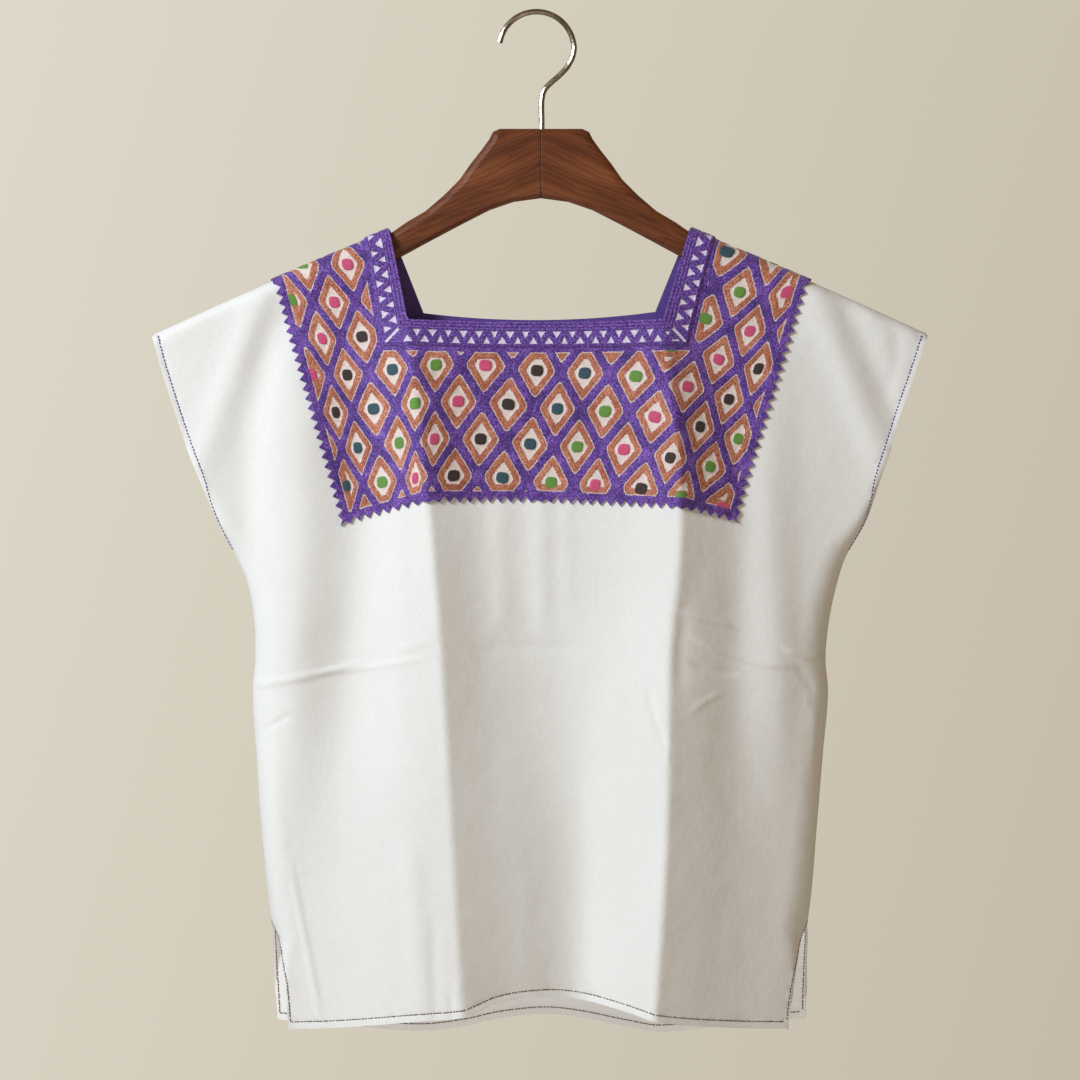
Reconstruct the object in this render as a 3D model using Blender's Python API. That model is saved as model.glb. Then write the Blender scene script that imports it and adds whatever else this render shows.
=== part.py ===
"""A white cotton blouse with an embroidered yoke, on a wooden hanger.

Units are metres and +Z is up. The front faces -Y. The origin is the inside of the hook's top,
where the hanger is held. The tables below are in millimetres and MM turns them into metres.

Each panel is drawn flat in two coordinates, across and up. Lower down these are the real x and z.
At the shoulder fold and at the side seams the cloth rolls over towards the back, so there the flat
outline runs on past the real edge by the length of the roll.
"""

import math

import bpy
import numpy as np
from mathutils import Vector
from mathutils.geometry import delaunay_2d_cdt

MM = 0.001
SEAM_GAP = 0.3 * MM

# Cloth walls
PANEL_WALL = 1.2 * MM
YOKE_WALL = 1.7 * MM
BAND_WALL = 1.2 * MM
YOKE_LIFT = 0.3 * MM

# Shoulder fold: it falls from the neck to the sleeve tip, steeper further out
SHOULDER_X = 121 * MM
SHOULDER_Z = -174.5 * MM
SHOULDER_SLOPE = 0.405
SHOULDER_BEND = 0.16
FOLD_RADIUS = 9.5 * MM
FOLD_TO_DRAPE = 150 * MM
SEAM_RADIUS = 20 * MM
QUARTER_EXTRA = math.pi / 2 - 1  # flat length past the real edge, for a roll of radius 1
SIDE_SEAM = (-425 * MM, -722 * MM)  # from the underarm to the slit

# Side outline, from the sleeve tip down its edge to the underarm, the side and the slit
SIDE_COLUMNS = ("z", "front_left", "front_right", "back_left", "back_right", "open")
SIDE_ROWS = (
    (-240, 314, 313, 314, 313, 1.0),
    (-276, 305, 302, 305, 303, 1.0),
    (-308, 295, 291, 295, 293, 1.0),
    (-340, 284, 280, 284, 283, 1.0),
    (-372, 271, 269, 271, 272, 0.9),
    (-404, 258, 259, 258, 260, 0.5),
    (-434, 243, 243, 243, 243, 0.0),
    (-452, 235, 237, 235, 237, 0.0),
    (-484, 229, 230, 229, 230, 0.0),
    (-516, 228, 227, 228, 227, 0.0),
    (-540, 230, 229, 230, 229, 0.0),
    (-590, 227, 225, 227, 225, 0.0),
    (-650, 223, 220, 223, 220, 0.0),
    (-708, 217, 215, 217, 215, 0.0),
    (-726, 214, 212, 214, 212, 0.0),
    (-736, 208.5, 207.5, 214, 213, 0.3),
    (-756, 204, 203, 214, 213, 0.8),
    (-790, 201, 198, 213, 213, 1.0),
    (-820, 199, 195, 211, 212, 1.0),
)

# Hem height across the width
HEM_COLUMNS = ("x", "front", "back")
HEM_ROWS = (
    (-215, -808, -806),
    (-160, -804.5, -811),
    (-95, -796, -815),
    (-60, -792, -810),
    (-35, -783.5, -805),
    (0, -780.5, -803),
    (37, -784.5, -806),
    (66, -790, -811),
    (95, -797, -815),
    (155, -805, -811),
    (215, -809, -805),
)

# Folds of the front, left to right: place across and distance in front of the hanger's plane at
# five heights. A sharp fold is a pressed crease, and the others are soft.
LEVELS = (-245, -400, -520, -650, -800)
FRONT_FOLDS = {
    "left sleeve edge": ((-312, -312, -312, -312, -312), (12, 14, 14, 14, 14), 0),
    "left side": ((-250, -238, -230, -222, -212), (15, 16, 17, 26, 27), 0),
    "left swell": ((-205, -192, -199, -199, -196), (18, 26, 29, 28, 28), 0),
    "left soft trough": ((-150, -139, -151, -165, -165), (12, 20, 23, 31, 35), 0),
    "left flank": ((-124, -110, -103, -100, -98), (20, 32, 42, 51, 59), 0),
    "left ridge": ((-106, -88, -78, -70, -61), (27, 42, 50, 57, 67), 1),
    "left inner": ((-70, -52, -42, -24, -12), (18, 28, 33, 38, 42), 0),
    "front trough": ((-8, 10, 30, 34, 36), (15, 23, 26, 27, 28), 0),
    "right inner": ((54, 62, 62, 61, 58), (18, 28, 35, 39, 43), 0),
    "right ridge": ((96, 110, 101, 98, 88), (27, 43, 53, 59, 65), 1),
    "right outer": ((118, 134, 128, 124, 119), (17, 31, 41, 47, 51), 0),
    "right soft trough": ((146, 158, 154, 158, 162), (12, 22, 29, 31, 32), 0),
    "right flank": ((184, 182, 190, 190, 192), (14, 21, 26, 21, 21), 0),
    "far right trough": ((214, 208, 212, 210, 206), (12, 15, 18, 16, 15), 0),
    "right side": ((250, 236, 227, 222, 214), (13, 12, 15, 15, 14), 0),
    "right sleeve edge": ((312, 312, 312, 312, 312), (12, 14, 14, 14, 14), 0),
}

# Folds of the back, with the distance behind the hanger's plane
BACK_FOLDS = {
    "left sleeve edge": ((-312, -312, -312, -312, -312), (12, 13, 13, 13, 13), 0),
    "left side": ((-245, -235, -228, -222, -212), (13, 15, 17, 17, 15), 0),
    "left soft trough": ((-190, -182, -186, -180, -172), (11, 13, 13, 15, 17), 0),
    "left flank": ((-150, -140, -140, -128, -118), (15, 18, 19, 18, 16), 0),
    "left crease": ((-93, -84, -76, -68, -58), (14, 12, 10, 9, 7), 1),
    "left inner": ((-66, -50, -40, -36, -22), (16, 17, 17, 16, 15), 0),
    "back ridge": ((-10, 4, 8, 2, 6), (19, 23, 25, 26, 24), 0),
    "right inner": ((62, 70, 62, 60, 50), (16, 17, 17, 16, 15), 0),
    "right crease": ((92, 104, 98, 96, 92), (14, 12, 9, 8, 6), 1),
    "right outer": ((118, 130, 128, 124, 124), (15, 17, 17, 15, 14), 0),
    "right soft trough": ((156, 160, 158, 166, 172), (12, 14, 16, 15, 13), 0),
    "right flank": ((192, 196, 190, 194, 198), (14, 16, 15, 17, 18), 0),
    "right side": ((250, 236, 227, 222, 214), (12, 15, 16, 16, 14), 0),
    "right sleeve edge": ((312, 312, 312, 312, 312), (12, 13, 13, 13, 13), 0),
}
CREASE_STEEPNESS = 1.05

# Yoke outline: outer shoulder corner, bottom corner, the bottom at the ridges and its middle
YOKE_SHOULDER_X = 215.5 * MM
YOKE_BOTTOM = {
    "front": ((-159, -409), (-89, -391), (0, -390.5), (110, -396), (155, -407)),
    "back": ((-160, -409), (-84, -394), (4, -392), (104, -395), (158, -408)),
}
YOKE_SEAM = 9 * MM
TOOTH_PITCH = 8 * MM
TOOTH_DEPTH = 5 * MM

# Square neck: corner points of the opening, front and back
NECK_CORNER = {
    "front": ((-105.5, -246), (96.5, -246)),
    "back": ((-94.5, -238), (92, -237)),
}
NECK_SAG = {"front": 1.5 * MM, "back": 6 * MM}
NECK_SHOULDER_X = {"left": -121.5 * MM, "right": 119.5 * MM}
BAND_WIDTH = 20.5 * MM
BAND_LEAN = 0.95
NECK_STEP = 12 * MM

# Mesh spacing: across, down, and along edges
GRID_ACROSS = 13 * MM
GRID_DOWN = 33 * MM
SIDE_ROLL_STEPS = (3 * MM, 9 * MM, 17 * MM, 27 * MM)
FOLD_ROLL_STEPS = (3.5 * MM, 7 * MM, 10.5 * MM, 14.5 * MM)
EDGE_CLEAR = 0.45
ROW_RATIO = 0.87
ON_LINE = 0.01 * MM
FOLD_ROWS = ((127, 135, 2), (148, 200, 6), (221, 298, 8))
SLEEVE_TIP_Z = -253 * MM
SETTLE_ROUNDS = 20
NORMAL_STEP = 0.4 * MM

# Hanger
HANGER_THICKNESS = 13 * MM
HANGER_HALF = 222 * MM
HANGER_ARM_X = 122 * MM
HANGER_END_RADIUS = 9 * MM
HANGER_EDGE = 6 * MM
HANGER_CLEAR = 0.7 * MM
HANGER_TOP = (
    (0, -91.5), (33, -91.5), (38.5, -94), (41.5, -100), (48, -109), (56, -119),
    (65, -132), (78, -145), (92, -157), (108, -166.5),
)
HANGER_UNDER = (
    (0, -147), (22, -150), (41, -156.5), (63.5, -168), (88, -181), (112, -194), (160, -216),
)
HANGER_END_HEIGHT = 21 * MM

# Hook wire
WIRE_RADIUS = 2.25 * MM
HOOK_RADIUS = 30 * MM
HOOK_CENTRE = (-3.6 * MM, -27.75 * MM)
HOOK_TIP_ANGLE = math.radians(170)
HOOK_LEAVE_ANGLE = math.radians(-2)
HOOK_ARC_POINTS = 11
HOOK_STEM = ((22, -40.5), (15, -48.5), (7.6, -55), (2.4, -61), (0.6, -69), (0.6, -82), (0.6, -103))
BORE_RADIUS = 2.7 * MM
BORE_BOTTOM = -106 * MM


def clear_scene():
    for thing in list(bpy.data.objects):
        bpy.data.objects.remove(thing)


def material(name, colour, roughness, metallic=0.0):
    made = bpy.data.materials.new(name)
    made.use_nodes = True
    shader = made.node_tree.nodes["Principled BSDF"]
    shader.inputs["Base Color"].default_value = (*colour, 1.0)
    shader.inputs["Roughness"].default_value = roughness
    shader.inputs["Metallic"].default_value = metallic
    made.diffuse_color = (*colour, 1.0)
    return made


def column(rows, index):
    return np.array([row[index] for row in rows], float) * MM


def smooth_between(value, places, amounts):
    """Read a table at a value, with a rounded path through its rows."""
    places = np.asarray(places, float)
    amounts = np.asarray(amounts, float)
    if places[0] > places[-1]:
        places = places[::-1]
        amounts = amounts[::-1]
    steps = np.diff(places)
    rises = np.diff(amounts) / steps
    slopes = np.concatenate([rises[:1], (rises[1:] + rises[:-1]) / 2, rises[-1:]])
    value = np.clip(value, places[0], places[-1])
    cell = np.clip(np.searchsorted(places, value) - 1, 0, len(steps) - 1)
    t = (value - places[cell]) / steps[cell]
    start, end = amounts[cell], amounts[cell + 1]
    lean_in, lean_out = slopes[cell] * steps[cell], slopes[cell + 1] * steps[cell]
    return (
        start * (2 * t**3 - 3 * t**2 + 1)
        + lean_in * (t**3 - 2 * t**2 + t)
        + end * (3 * t**2 - 2 * t**3)
        + lean_out * (t**3 - t**2)
    )


def shoulder_height(x):
    out = np.abs(x) - SHOULDER_X
    return SHOULDER_Z - SHOULDER_SLOPE * out - SHOULDER_BEND * np.maximum(out, 0) ** 2


def side_edge(x, z, side):
    """Real distance out to the panel's edge at this height, and how open the edge is there."""
    heights = column(SIDE_ROWS, 0)
    left = smooth_between(z, heights, column(SIDE_ROWS, SIDE_COLUMNS.index(side + "_left")))
    right = smooth_between(z, heights, column(SIDE_ROWS, SIDE_COLUMNS.index(side + "_right")))
    opened = smooth_between(z, heights, column(SIDE_ROWS, SIDE_COLUMNS.index("open")) / MM)
    return np.where(x < 0, left, right), np.clip(opened, 0.0, 1.0)


def side_roll(opened):
    return np.maximum(SEAM_RADIUS * (1 - opened), ON_LINE)


def fold_depth(x, z, folds):
    """Distance of the cloth from the hanger's plane, read from the table of folds.

    Between two folds the cloth follows a smooth curve. It runs on through a soft fold, and it
    meets a sharp one from each side at that side's own slope.
    """
    heights = np.array(LEVELS, float) * MM
    places = [smooth_between(z, heights, np.array(row[0]) * MM) for row in folds.values()]
    depths = [smooth_between(z, heights, np.array(row[1]) * MM) for row in folds.values()]
    sharp = [row[2] for row in folds.values()]
    widths = [after - before for before, after in zip(places, places[1:])]
    rises = [after - before for before, after in zip(depths, depths[1:])]
    last = len(widths)
    soft = [0.0] * (last + 1)
    for i in range(1, last):
        before, after = widths[i - 1], widths[i]
        soft[i] = (rises[i - 1] / before * after + rises[i] / after * before) / (before + after)
    result = depths[0].copy()
    for i in range(last):
        crease = rises[i] * CREASE_STEEPNESS
        start = crease if sharp[i] else soft[i] * widths[i]
        end = crease if sharp[i + 1] else soft[i + 1] * widths[i]
        t = np.clip((x - places[i]) / widths[i], 0.0, 1.0)
        result = result + rises[i] * (3 * t**2 - 2 * t**3)
        result = result + start * (t**3 - 2 * t**2 + t) + end * (t**3 - t**2)
    return result


def drape(across, up, side):
    """Turn flat panel coordinates into a point on the middle of the cloth's wall."""
    across = np.asarray(across, float)
    up = np.asarray(up, float)
    top = shoulder_height(across)
    along = top + QUARTER_EXTRA * FOLD_RADIUS - up
    turn = np.minimum(along / FOLD_RADIUS, math.pi / 2)
    z = np.where(turn < math.pi / 2, top - FOLD_RADIUS * (1 - np.cos(turn)), up)
    edge, opened = side_edge(across, z, side)
    roll = side_roll(opened)
    inward = edge + QUARTER_EXTRA * roll - np.abs(across)
    lean = np.minimum(inward / roll, math.pi / 2)
    from_edge = np.where(lean < math.pi / 2, roll * (1 - np.cos(lean)), inward - QUARTER_EXTRA * roll)
    x = np.sign(across) * (edge - from_edge)
    rounding = opened + (1 - opened) * np.sin(lean)
    height = SHOULDER_Z - SHOULDER_SLOPE * np.maximum(np.abs(x) - SHOULDER_X, 0) - z
    share = np.clip(height / FOLD_TO_DRAPE, 0.0, 1.0)
    share = 3 * share**2 - 2 * share**3
    folds = FRONT_FOLDS if side == "front" else BACK_FOLDS
    depth = FOLD_RADIUS + (fold_depth(x, z, folds) - FOLD_RADIUS) * share
    behind = 1.0 if side == "back" else -1.0
    y = behind * (SEAM_GAP / 2 + (depth - SEAM_GAP / 2) * rounding * np.sin(turn))
    return np.stack([x, y, z], axis=-1)


def outward(across, up, side):
    """Unit normals of the cloth, pointing away from the hanger."""
    step = NORMAL_STEP
    sideways = drape(across + step, up, side) - drape(across - step, up, side)
    upward = drape(across, up + step, side) - drape(across, up - step, side)
    normal = np.cross(sideways, upward)
    if side == "back":
        normal = -normal
    return normal / np.linalg.norm(normal, axis=-1, keepdims=True)


def wall_object(name, middle, normals, faces, inner, outer, finish):
    """A closed wall between two offsets of a sheet, with rims along all its free edges."""
    count = len(middle)
    points = np.concatenate([middle + normals * outer, middle + normals * inner])
    triangles = [tuple(face) for face in faces]
    used = {}
    for face in triangles:
        for start, end in zip(face, face[1:] + face[:1]):
            used[(start, end)] = True
    rims = []
    for start, end in used:
        if (end, start) not in used:
            rims.append((end, start, start + count, end + count))
    inside = [tuple(corner + count for corner in reversed(face)) for face in triangles]
    mesh = bpy.data.meshes.new(name)
    mesh.from_pydata([Vector(p) for p in points], [], triangles + inside + rims)
    mesh.update()
    mesh.shade_smooth()
    mesh.set_sharp_from_angle(angle=math.radians(40))
    mesh.materials.append(finish)
    made = bpy.data.objects.new(name, mesh)
    bpy.context.scene.collection.objects.link(made)
    return made


def spaced(start, end, step, scale=(1.0, 1.0)):
    """Points along a straight line, without its end."""
    start = np.array(start, float)
    end = np.array(end, float)
    count = max(1, int(round(np.hypot(*((end - start) * scale)) / step)))
    return [tuple(start + (end - start) * i / count) for i in range(count)]


def from_fold(start, end, step, scale=(1.0, 1.0)):
    """Points down from the shoulder fold, close together where the cloth rolls over it."""
    start = np.array(start, float)
    run = np.array(end, float) - start
    run = run / np.hypot(*run)
    rolled = [tuple(start)] + [tuple(start + run * inset) for inset in FOLD_ROLL_STEPS]
    return rolled + spaced(rolled[-1], end, step, scale)[1:]


def near_lines(points, starts, ends, clear):
    """Which points lie closer than the clearance to any of the line pieces."""
    found = np.zeros(len(points), bool)
    for start, end in zip(starts, ends):
        along = end - start
        length = max(float(along @ along), 1e-12)
        share = np.clip(((points - start) @ along) / length, 0.0, 1.0)
        away = points - (start + share[:, None] * along)
        found |= np.hypot(away[:, 0], away[:, 1]) < clear
    return found


def inside_loop(points, loop):
    """Which points lie inside a closed loop, by counting the sides to their right."""
    crossings = np.zeros(len(points), int)
    for start, end in zip(loop, np.roll(loop, -1, axis=0)):
        spans = (start[1] > points[:, 1]) != (end[1] > points[:, 1])
        rise = np.where(end[1] == start[1], 1.0, end[1] - start[1])
        meet = start[0] + (points[:, 1] - start[1]) * (end[0] - start[0]) / rise
        crossings += spans & (points[:, 0] < meet)
    return crossings % 2 == 1


def filled_outline(loop, guides, across, down):
    """Triangulate a flat outline with rows of points inside it and creases kept as edges.

    The flat shape is squeezed in height while it is filled, so that its triangles are longer
    down the folds than across them.
    """
    squeeze = np.array([1.0, across / down])
    loop = np.array(loop, float) * squeeze
    lines = [np.array(line, float) * squeeze for line in guides]
    low, high = loop.min(axis=0), loop.max(axis=0)
    rows = []
    height = low[1] + across / 2
    odd = 0
    while height < high[1]:
        places = np.arange(low[0] + across * (0.5 + 0.5 * odd), high[0], across)
        rows.append(np.stack([places, np.full(len(places), height)], axis=1))
        height += across * ROW_RATIO
        odd = 1 - odd
    grid = np.concatenate(rows)
    starts = [loop]
    ends = [np.roll(loop, -1, axis=0)]
    for line in lines:
        starts.append(line[:-1])
        ends.append(line[1:])
    starts = np.concatenate(starts)
    ends = np.concatenate(ends)
    keep = inside_loop(grid, loop) & ~near_lines(grid, starts, ends, EDGE_CLEAR * across)
    grid = grid[keep]
    points = [Vector(p) for p in loop]
    edges = [(i, (i + 1) % len(loop)) for i in range(len(loop))]
    for line in lines:
        first = len(points)
        points.extend(Vector(p) for p in line)
        edges.extend((first + i, first + i + 1) for i in range(len(line) - 1))
    points.extend(Vector(p) for p in grid)
    found = delaunay_2d_cdt(points, edges, [], 1, 1e-6)
    flat = np.array([tuple(p) for p in found[0]]) / squeeze
    return flat, [tuple(face) for face in found[2]]


def fold_line(row, top, bottom, step):
    """Flat points down a crease, between two heights."""
    heights = np.array(LEVELS, float) * MM
    count = max(2, int(round((top - bottom) / step)))
    levels = np.linspace(top, bottom, count)
    places = smooth_between(levels, heights, np.array(row[0]) * MM)
    return [(x, z) for x, z in zip(places, levels)]


def creases(side):
    if side == "front":
        return FRONT_FOLDS, ("left ridge", "right ridge")
    return BACK_FOLDS, ("left crease", "right crease")


def hem_height(x, side):
    return smooth_between(x, column(HEM_ROWS, 0), column(HEM_ROWS, HEM_COLUMNS.index(side)))


def flat_top(x):
    """Flat height of the shoulder fold, where front and back meet."""
    return float(shoulder_height(x)) + QUARTER_EXTRA * FOLD_RADIUS - SEAM_GAP / 2


def flat_edge(z, side, sign, inset=0.0):
    edge, opened = side_edge(np.array(sign * SHOULDER_X), np.array(z), side)
    return sign * float(edge + QUARTER_EXTRA * side_roll(opened) - inset)


def side_points(side, sign, step, inset=0.0):
    """Flat points down one side, from the sleeve tip to the hem."""
    tip_z = SLEEVE_TIP_Z
    for _ in range(SETTLE_ROUNDS):
        tip_z = flat_top(flat_edge(tip_z, side, sign, inset))
    hem_z = float(hem_height(sign * YOKE_SHOULDER_X, side))
    rolled = [tip_z - down for down in FOLD_ROLL_STEPS]
    count = int(round((rolled[-1] - hem_z) / step))
    levels = [tip_z] + rolled + list(np.linspace(rolled[-1], hem_z, count + 1)[1:])
    return [(flat_edge(z, side, sign, inset), z) for z in levels]


def yoke_corners(side):
    """Outline corners of the yoke, from the left shoulder down and round to the right shoulder."""
    top = YOKE_SHOULDER_X
    bottom = [(x * MM, z * MM) for x, z in YOKE_BOTTOM[side]]
    return [(-top, flat_top(top)), *bottom, (top, flat_top(top))]


def moved_in(path, distance):
    """The same open path, moved to its left-hand side by a distance."""
    path = np.array(path, float)
    runs = np.diff(path, axis=0)
    runs = runs / np.hypot(runs[:, 0], runs[:, 1])[:, None]
    left = np.stack([-runs[:, 1], runs[:, 0]], axis=1)
    moved = [path[0] + left[0] * distance]
    for i in range(1, len(path) - 1):
        middle = left[i - 1] + left[i]
        moved.append(path[i] + middle * distance * 2 / float(middle @ middle))
    moved.append(path[-1] + left[-1] * distance)
    return moved


def ends_on_fold(path):
    """Bring the two shoulder ends of a path back onto the shoulder fold."""
    path = [tuple(p) for p in path]
    for index, inner in ((0, 1), (-1, -2)):
        end = np.array(path[index])
        run = end - np.array(path[inner])
        for _ in range(SETTLE_ROUNDS):
            end = end + run / np.hypot(*run) * (flat_top(end[0]) - end[1])
        path[index] = tuple(end)
    return path


def seam_path(side):
    """Where the panel's upper edge lies under the yoke, from shoulder to shoulder."""
    return ends_on_fold(moved_in(yoke_corners(side), YOKE_SEAM))


def crease_path(side, index):
    """A pressed crease from a corner of the neck down through the yoke to the hem."""
    folds, names = creases(side)
    row = folds[names[index]]
    corner = NECK_CORNER[side][index]
    neck = (corner[0] * MM, corner[1] * MM)
    seam = seam_path(side)[2 + 2 * index]
    foot = yoke_corners(side)[2 + 2 * index]
    hem_x = row[0][-1] * MM
    hem = (hem_x, float(hem_height(hem_x, side)))
    upper = fold_line(row, neck[1] - GRID_ACROSS, seam[1] + GRID_ACROSS, GRID_DOWN)
    lower = fold_line(row, foot[1] - GRID_ACROSS, hem[1] + GRID_ACROSS, GRID_DOWN)
    return [neck] + upper + [seam, foot] + lower + [hem]


def with_more(loop, start, end):
    """Add points from start towards end, without saying the loop's last point again."""
    more = spaced(start, end, GRID_ACROSS)
    return loop + (more[1:] if loop[-1] == start else more)


def side_outline(side):
    """The whole front or back as one loop: sides, hem, shoulder fold and neck."""
    left = side_points(side, -1, GRID_DOWN)
    right = side_points(side, 1, GRID_DOWN)
    hem_count = int((right[-1][0] - left[-1][0]) / GRID_ACROSS)
    hem_x = np.linspace(left[-1][0], right[-1][0], hem_count + 1)[1:-1]
    hem = [(x, float(hem_height(x, side))) for x in hem_x]
    neck = neck_path(side)
    yoke_tops = (yoke_corners(side)[0], yoke_corners(side)[-1])
    seam = seam_path(side)
    loop = left + hem + right[::-1]
    for start, end in ((right[0], yoke_tops[1]), (yoke_tops[1], seam[-1]), (seam[-1], neck[-1])):
        loop = with_more(loop, start, end)
    loop += neck[::-1]
    for start, end in ((neck[0], seam[0]), (seam[0], yoke_tops[0]), (yoke_tops[0], left[0])):
        loop = with_more(loop, start, end)
    return loop


def side_sheet(side):
    """One flat mesh for panel and yoke together, so that the yoke lies true on the panel."""
    stretch = (1.0, GRID_ACROSS / GRID_DOWN)
    seam = seam_path(side)
    seam_line = from_fold(seam[0], seam[1], GRID_ACROSS, stretch)
    for start, end in zip(seam[1:-2], seam[2:-1]):
        seam_line += spaced(start, end, GRID_ACROSS, stretch)
    seam_line += [seam[-2]] + from_fold(seam[-1], seam[-2], GRID_ACROSS, stretch)[::-1]
    guides = [seam_line, yoke_outline(side), band_path(side)]
    for index in (0, 1):
        guides += [crease_path(side, index), mitre(side, index)]
    for inset in SIDE_ROLL_STEPS:
        for sign in (-1, 1):
            rows = side_points(side, sign, GRID_DOWN, inset)
            guides.append([p for p in rows if SIDE_SEAM[1] < p[1] < SIDE_SEAM[0]])
    for inset in FOLD_ROLL_STEPS:
        for sign in (-1, 1):
            for inner, outer, count in FOLD_ROWS:
                across = np.linspace(inner, outer, count) * MM
                guides.append([(sign * x, flat_top(x) - inset) for x in across])
    return filled_outline(side_outline(side), guides, GRID_ACROSS, GRID_DOWN)


def within(flat, faces, border):
    """The faces whose middles lie inside a line from shoulder to shoulder."""
    above = [(border[-1][0], 0.0), (border[0][0], 0.0)]
    middles = flat[np.array(faces)].mean(axis=1)
    return inside_loop(middles, np.array(list(border) + above))


def garment_side(side, cotton, embroidery, trim):
    """White panel with its sleeve halves, the thick yoke on its upper edge, and the neckband."""
    flat, faces = side_sheet(side)
    under = within(flat, faces, seam_path(side))
    over = within(flat, faces, yoke_outline(side))
    cloth = [face for face, cut in zip(faces, under) if not cut]
    worked = [face for face, kept in zip(faces, over) if kept]
    half = PANEL_WALL / 2
    lifted(side + "_panel", flat, cloth, side, -half, half, cotton)
    inner = half + YOKE_LIFT
    lifted("yoke_" + side, flat, worked, side, inner, inner + YOKE_WALL, embroidery)
    neckbands(side, worked, flat, trim)


def lifted(name, flat, faces, side, inner, outer, finish):
    """Drape some faces of a flat mesh and make them a wall. The back's are turned round."""
    used = sorted({corner for face in faces for corner in face})
    place = {corner: i for i, corner in enumerate(used)}
    faces = [tuple(place[corner] for corner in face) for face in faces]
    flat = flat[used]
    across = flat[:, 0]
    up = flat[:, 1]
    middle = drape(across, up, side)
    normals = outward(across, up, side)
    signed = np.array([
        (across[b] - across[a]) * (up[c] - up[a]) - (across[c] - across[a]) * (up[b] - up[a])
        for a, b, c in faces
    ])
    wanted = 1 if side == "front" else -1
    turned = [
        tuple(face) if area * wanted > 0 else tuple(reversed(face))
        for face, area in zip(faces, signed)
    ]
    return wall_object(name, middle, normals, turned, inner, outer, finish)


def toothed(path):
    """A zigzag along a path: the tips on it, the notches inside it and shallower by a corner."""
    path = np.array(path, float)
    result = []
    for start, end in zip(path, path[1:]):
        run = end - start
        length = float(np.hypot(*run))
        run = run / length
        inside = np.array([-run[1], run[0]])
        teeth = int(round(length / TOOTH_PITCH))
        for i in range(teeth):
            depth = TOOTH_DEPTH * (0.5 if i in (0, teeth - 1) else 1.0)
            result.append(tuple(start + run * length * i / teeth))
            result.append(tuple(start + run * length * (i + 0.5) / teeth + inside * depth))
    result.append(tuple(path[-1]))
    return result


def dipping_path(start, left, right, end, side):
    """From one shoulder down to a corner, across with a slight dip, and up to the other."""
    across = []
    for x, z in spaced(left, right, NECK_STEP)[1:]:
        share = (x - left[0]) / (right[0] - left[0])
        across.append((x, z - NECK_SAG[side] * 4 * share * (1 - share)))
    right_side = from_fold(end, right, NECK_STEP)[::-1]
    return from_fold(start, left, NECK_STEP) + [left] + across + [right] + right_side


def neck_path(side):
    """The edge of the opening, from the left shoulder down and round to the right shoulder."""
    start, end = ((x, flat_top(x)) for x in NECK_SHOULDER_X.values())
    return dipping_path(start, mitre(side, 0)[0], mitre(side, 1)[0], end, side)


def yoke_outline(side):
    """The yoke's toothed edge, from shoulder to shoulder."""
    outline = toothed(yoke_corners(side))
    ends = (outline[0], outline[-1])
    return [p for p in outline if p in ends or p[1] < flat_top(p[0]) - TOOTH_DEPTH / 2]


def mitre(side, index):
    """The slanting joint at one corner of the neckband, from its inner to its outer end."""
    x, z = NECK_CORNER[side][index]
    sign = (-1, 1)[index]
    inner = np.array([x * MM, z * MM])
    outer = inner + np.array([sign * BAND_WIDTH * BAND_LEAN, -BAND_WIDTH])
    return [tuple(inner), tuple((inner + outer) / 2), tuple(outer)]


def band_path(side):
    """The outer edge of the neckband, from shoulder to shoulder."""
    left = mitre(side, 0)[-1]
    right = mitre(side, 1)[-1]
    out = BAND_WIDTH * BAND_LEAN
    tops = (NECK_SHOULDER_X["left"] - out, NECK_SHOULDER_X["right"] + out)
    start, end = ((x, flat_top(x)) for x in tops)
    return dipping_path(start, left, right, end, side)


def neckbands(side, faces, flat, finish):
    """Three strips round half of the square neck, parted at the mitred corners."""
    strip = [face for face, kept in zip(faces, within(flat, faces, band_path(side))) if kept]
    middles = flat[np.array(strip)].mean(axis=1)
    beyond = []
    for index in (0, 1):
        joint = np.array(mitre(side, index))
        run = joint[-1] - joint[0]
        away = middles - joint[0]
        beyond.append((run[0] * away[:, 1] - run[1] * away[:, 0]) * (1, -1)[index] < 0)
    chosen = {
        "neckband_" + side: ~beyond[0] & ~beyond[1],
        "neckband_" + side + "_left": beyond[0],
        "neckband_" + side + "_right": beyond[1],
    }
    inner = PANEL_WALL / 2 + YOKE_LIFT + YOKE_WALL + SEAM_GAP
    for name, mine in chosen.items():
        own = [face for face, kept in zip(strip, mine) if kept]
        parted = moved_off_mitres(flat, own, side)
        lifted(name, parted, own, side, inner, inner + BAND_WALL, finish)


def moved_off_mitres(flat, faces, side):
    """The flat points, with those on a mitre drawn half a seam gap towards these faces."""
    flat = flat.copy()
    used = np.array(sorted({corner for face in faces for corner in face}))
    middle = flat[used].mean(axis=0)
    for index in (0, 1):
        joint = np.array(mitre(side, index))
        run = (joint[-1] - joint[0]) / np.hypot(*(joint[-1] - joint[0]))
        across = np.array([-run[1], run[0]])
        away = (flat[used] - joint[0]) @ across
        along = (flat[used] - joint[0]) @ run
        on_line = (np.abs(away) < ON_LINE) & (along > -ON_LINE) & (along < 2 * BAND_WIDTH)
        toward = 1.0 if float((middle - joint[0]) @ across) > 0 else -1.0
        flat[used[on_line]] += across * toward * SEAM_GAP / 2
    return flat


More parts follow.
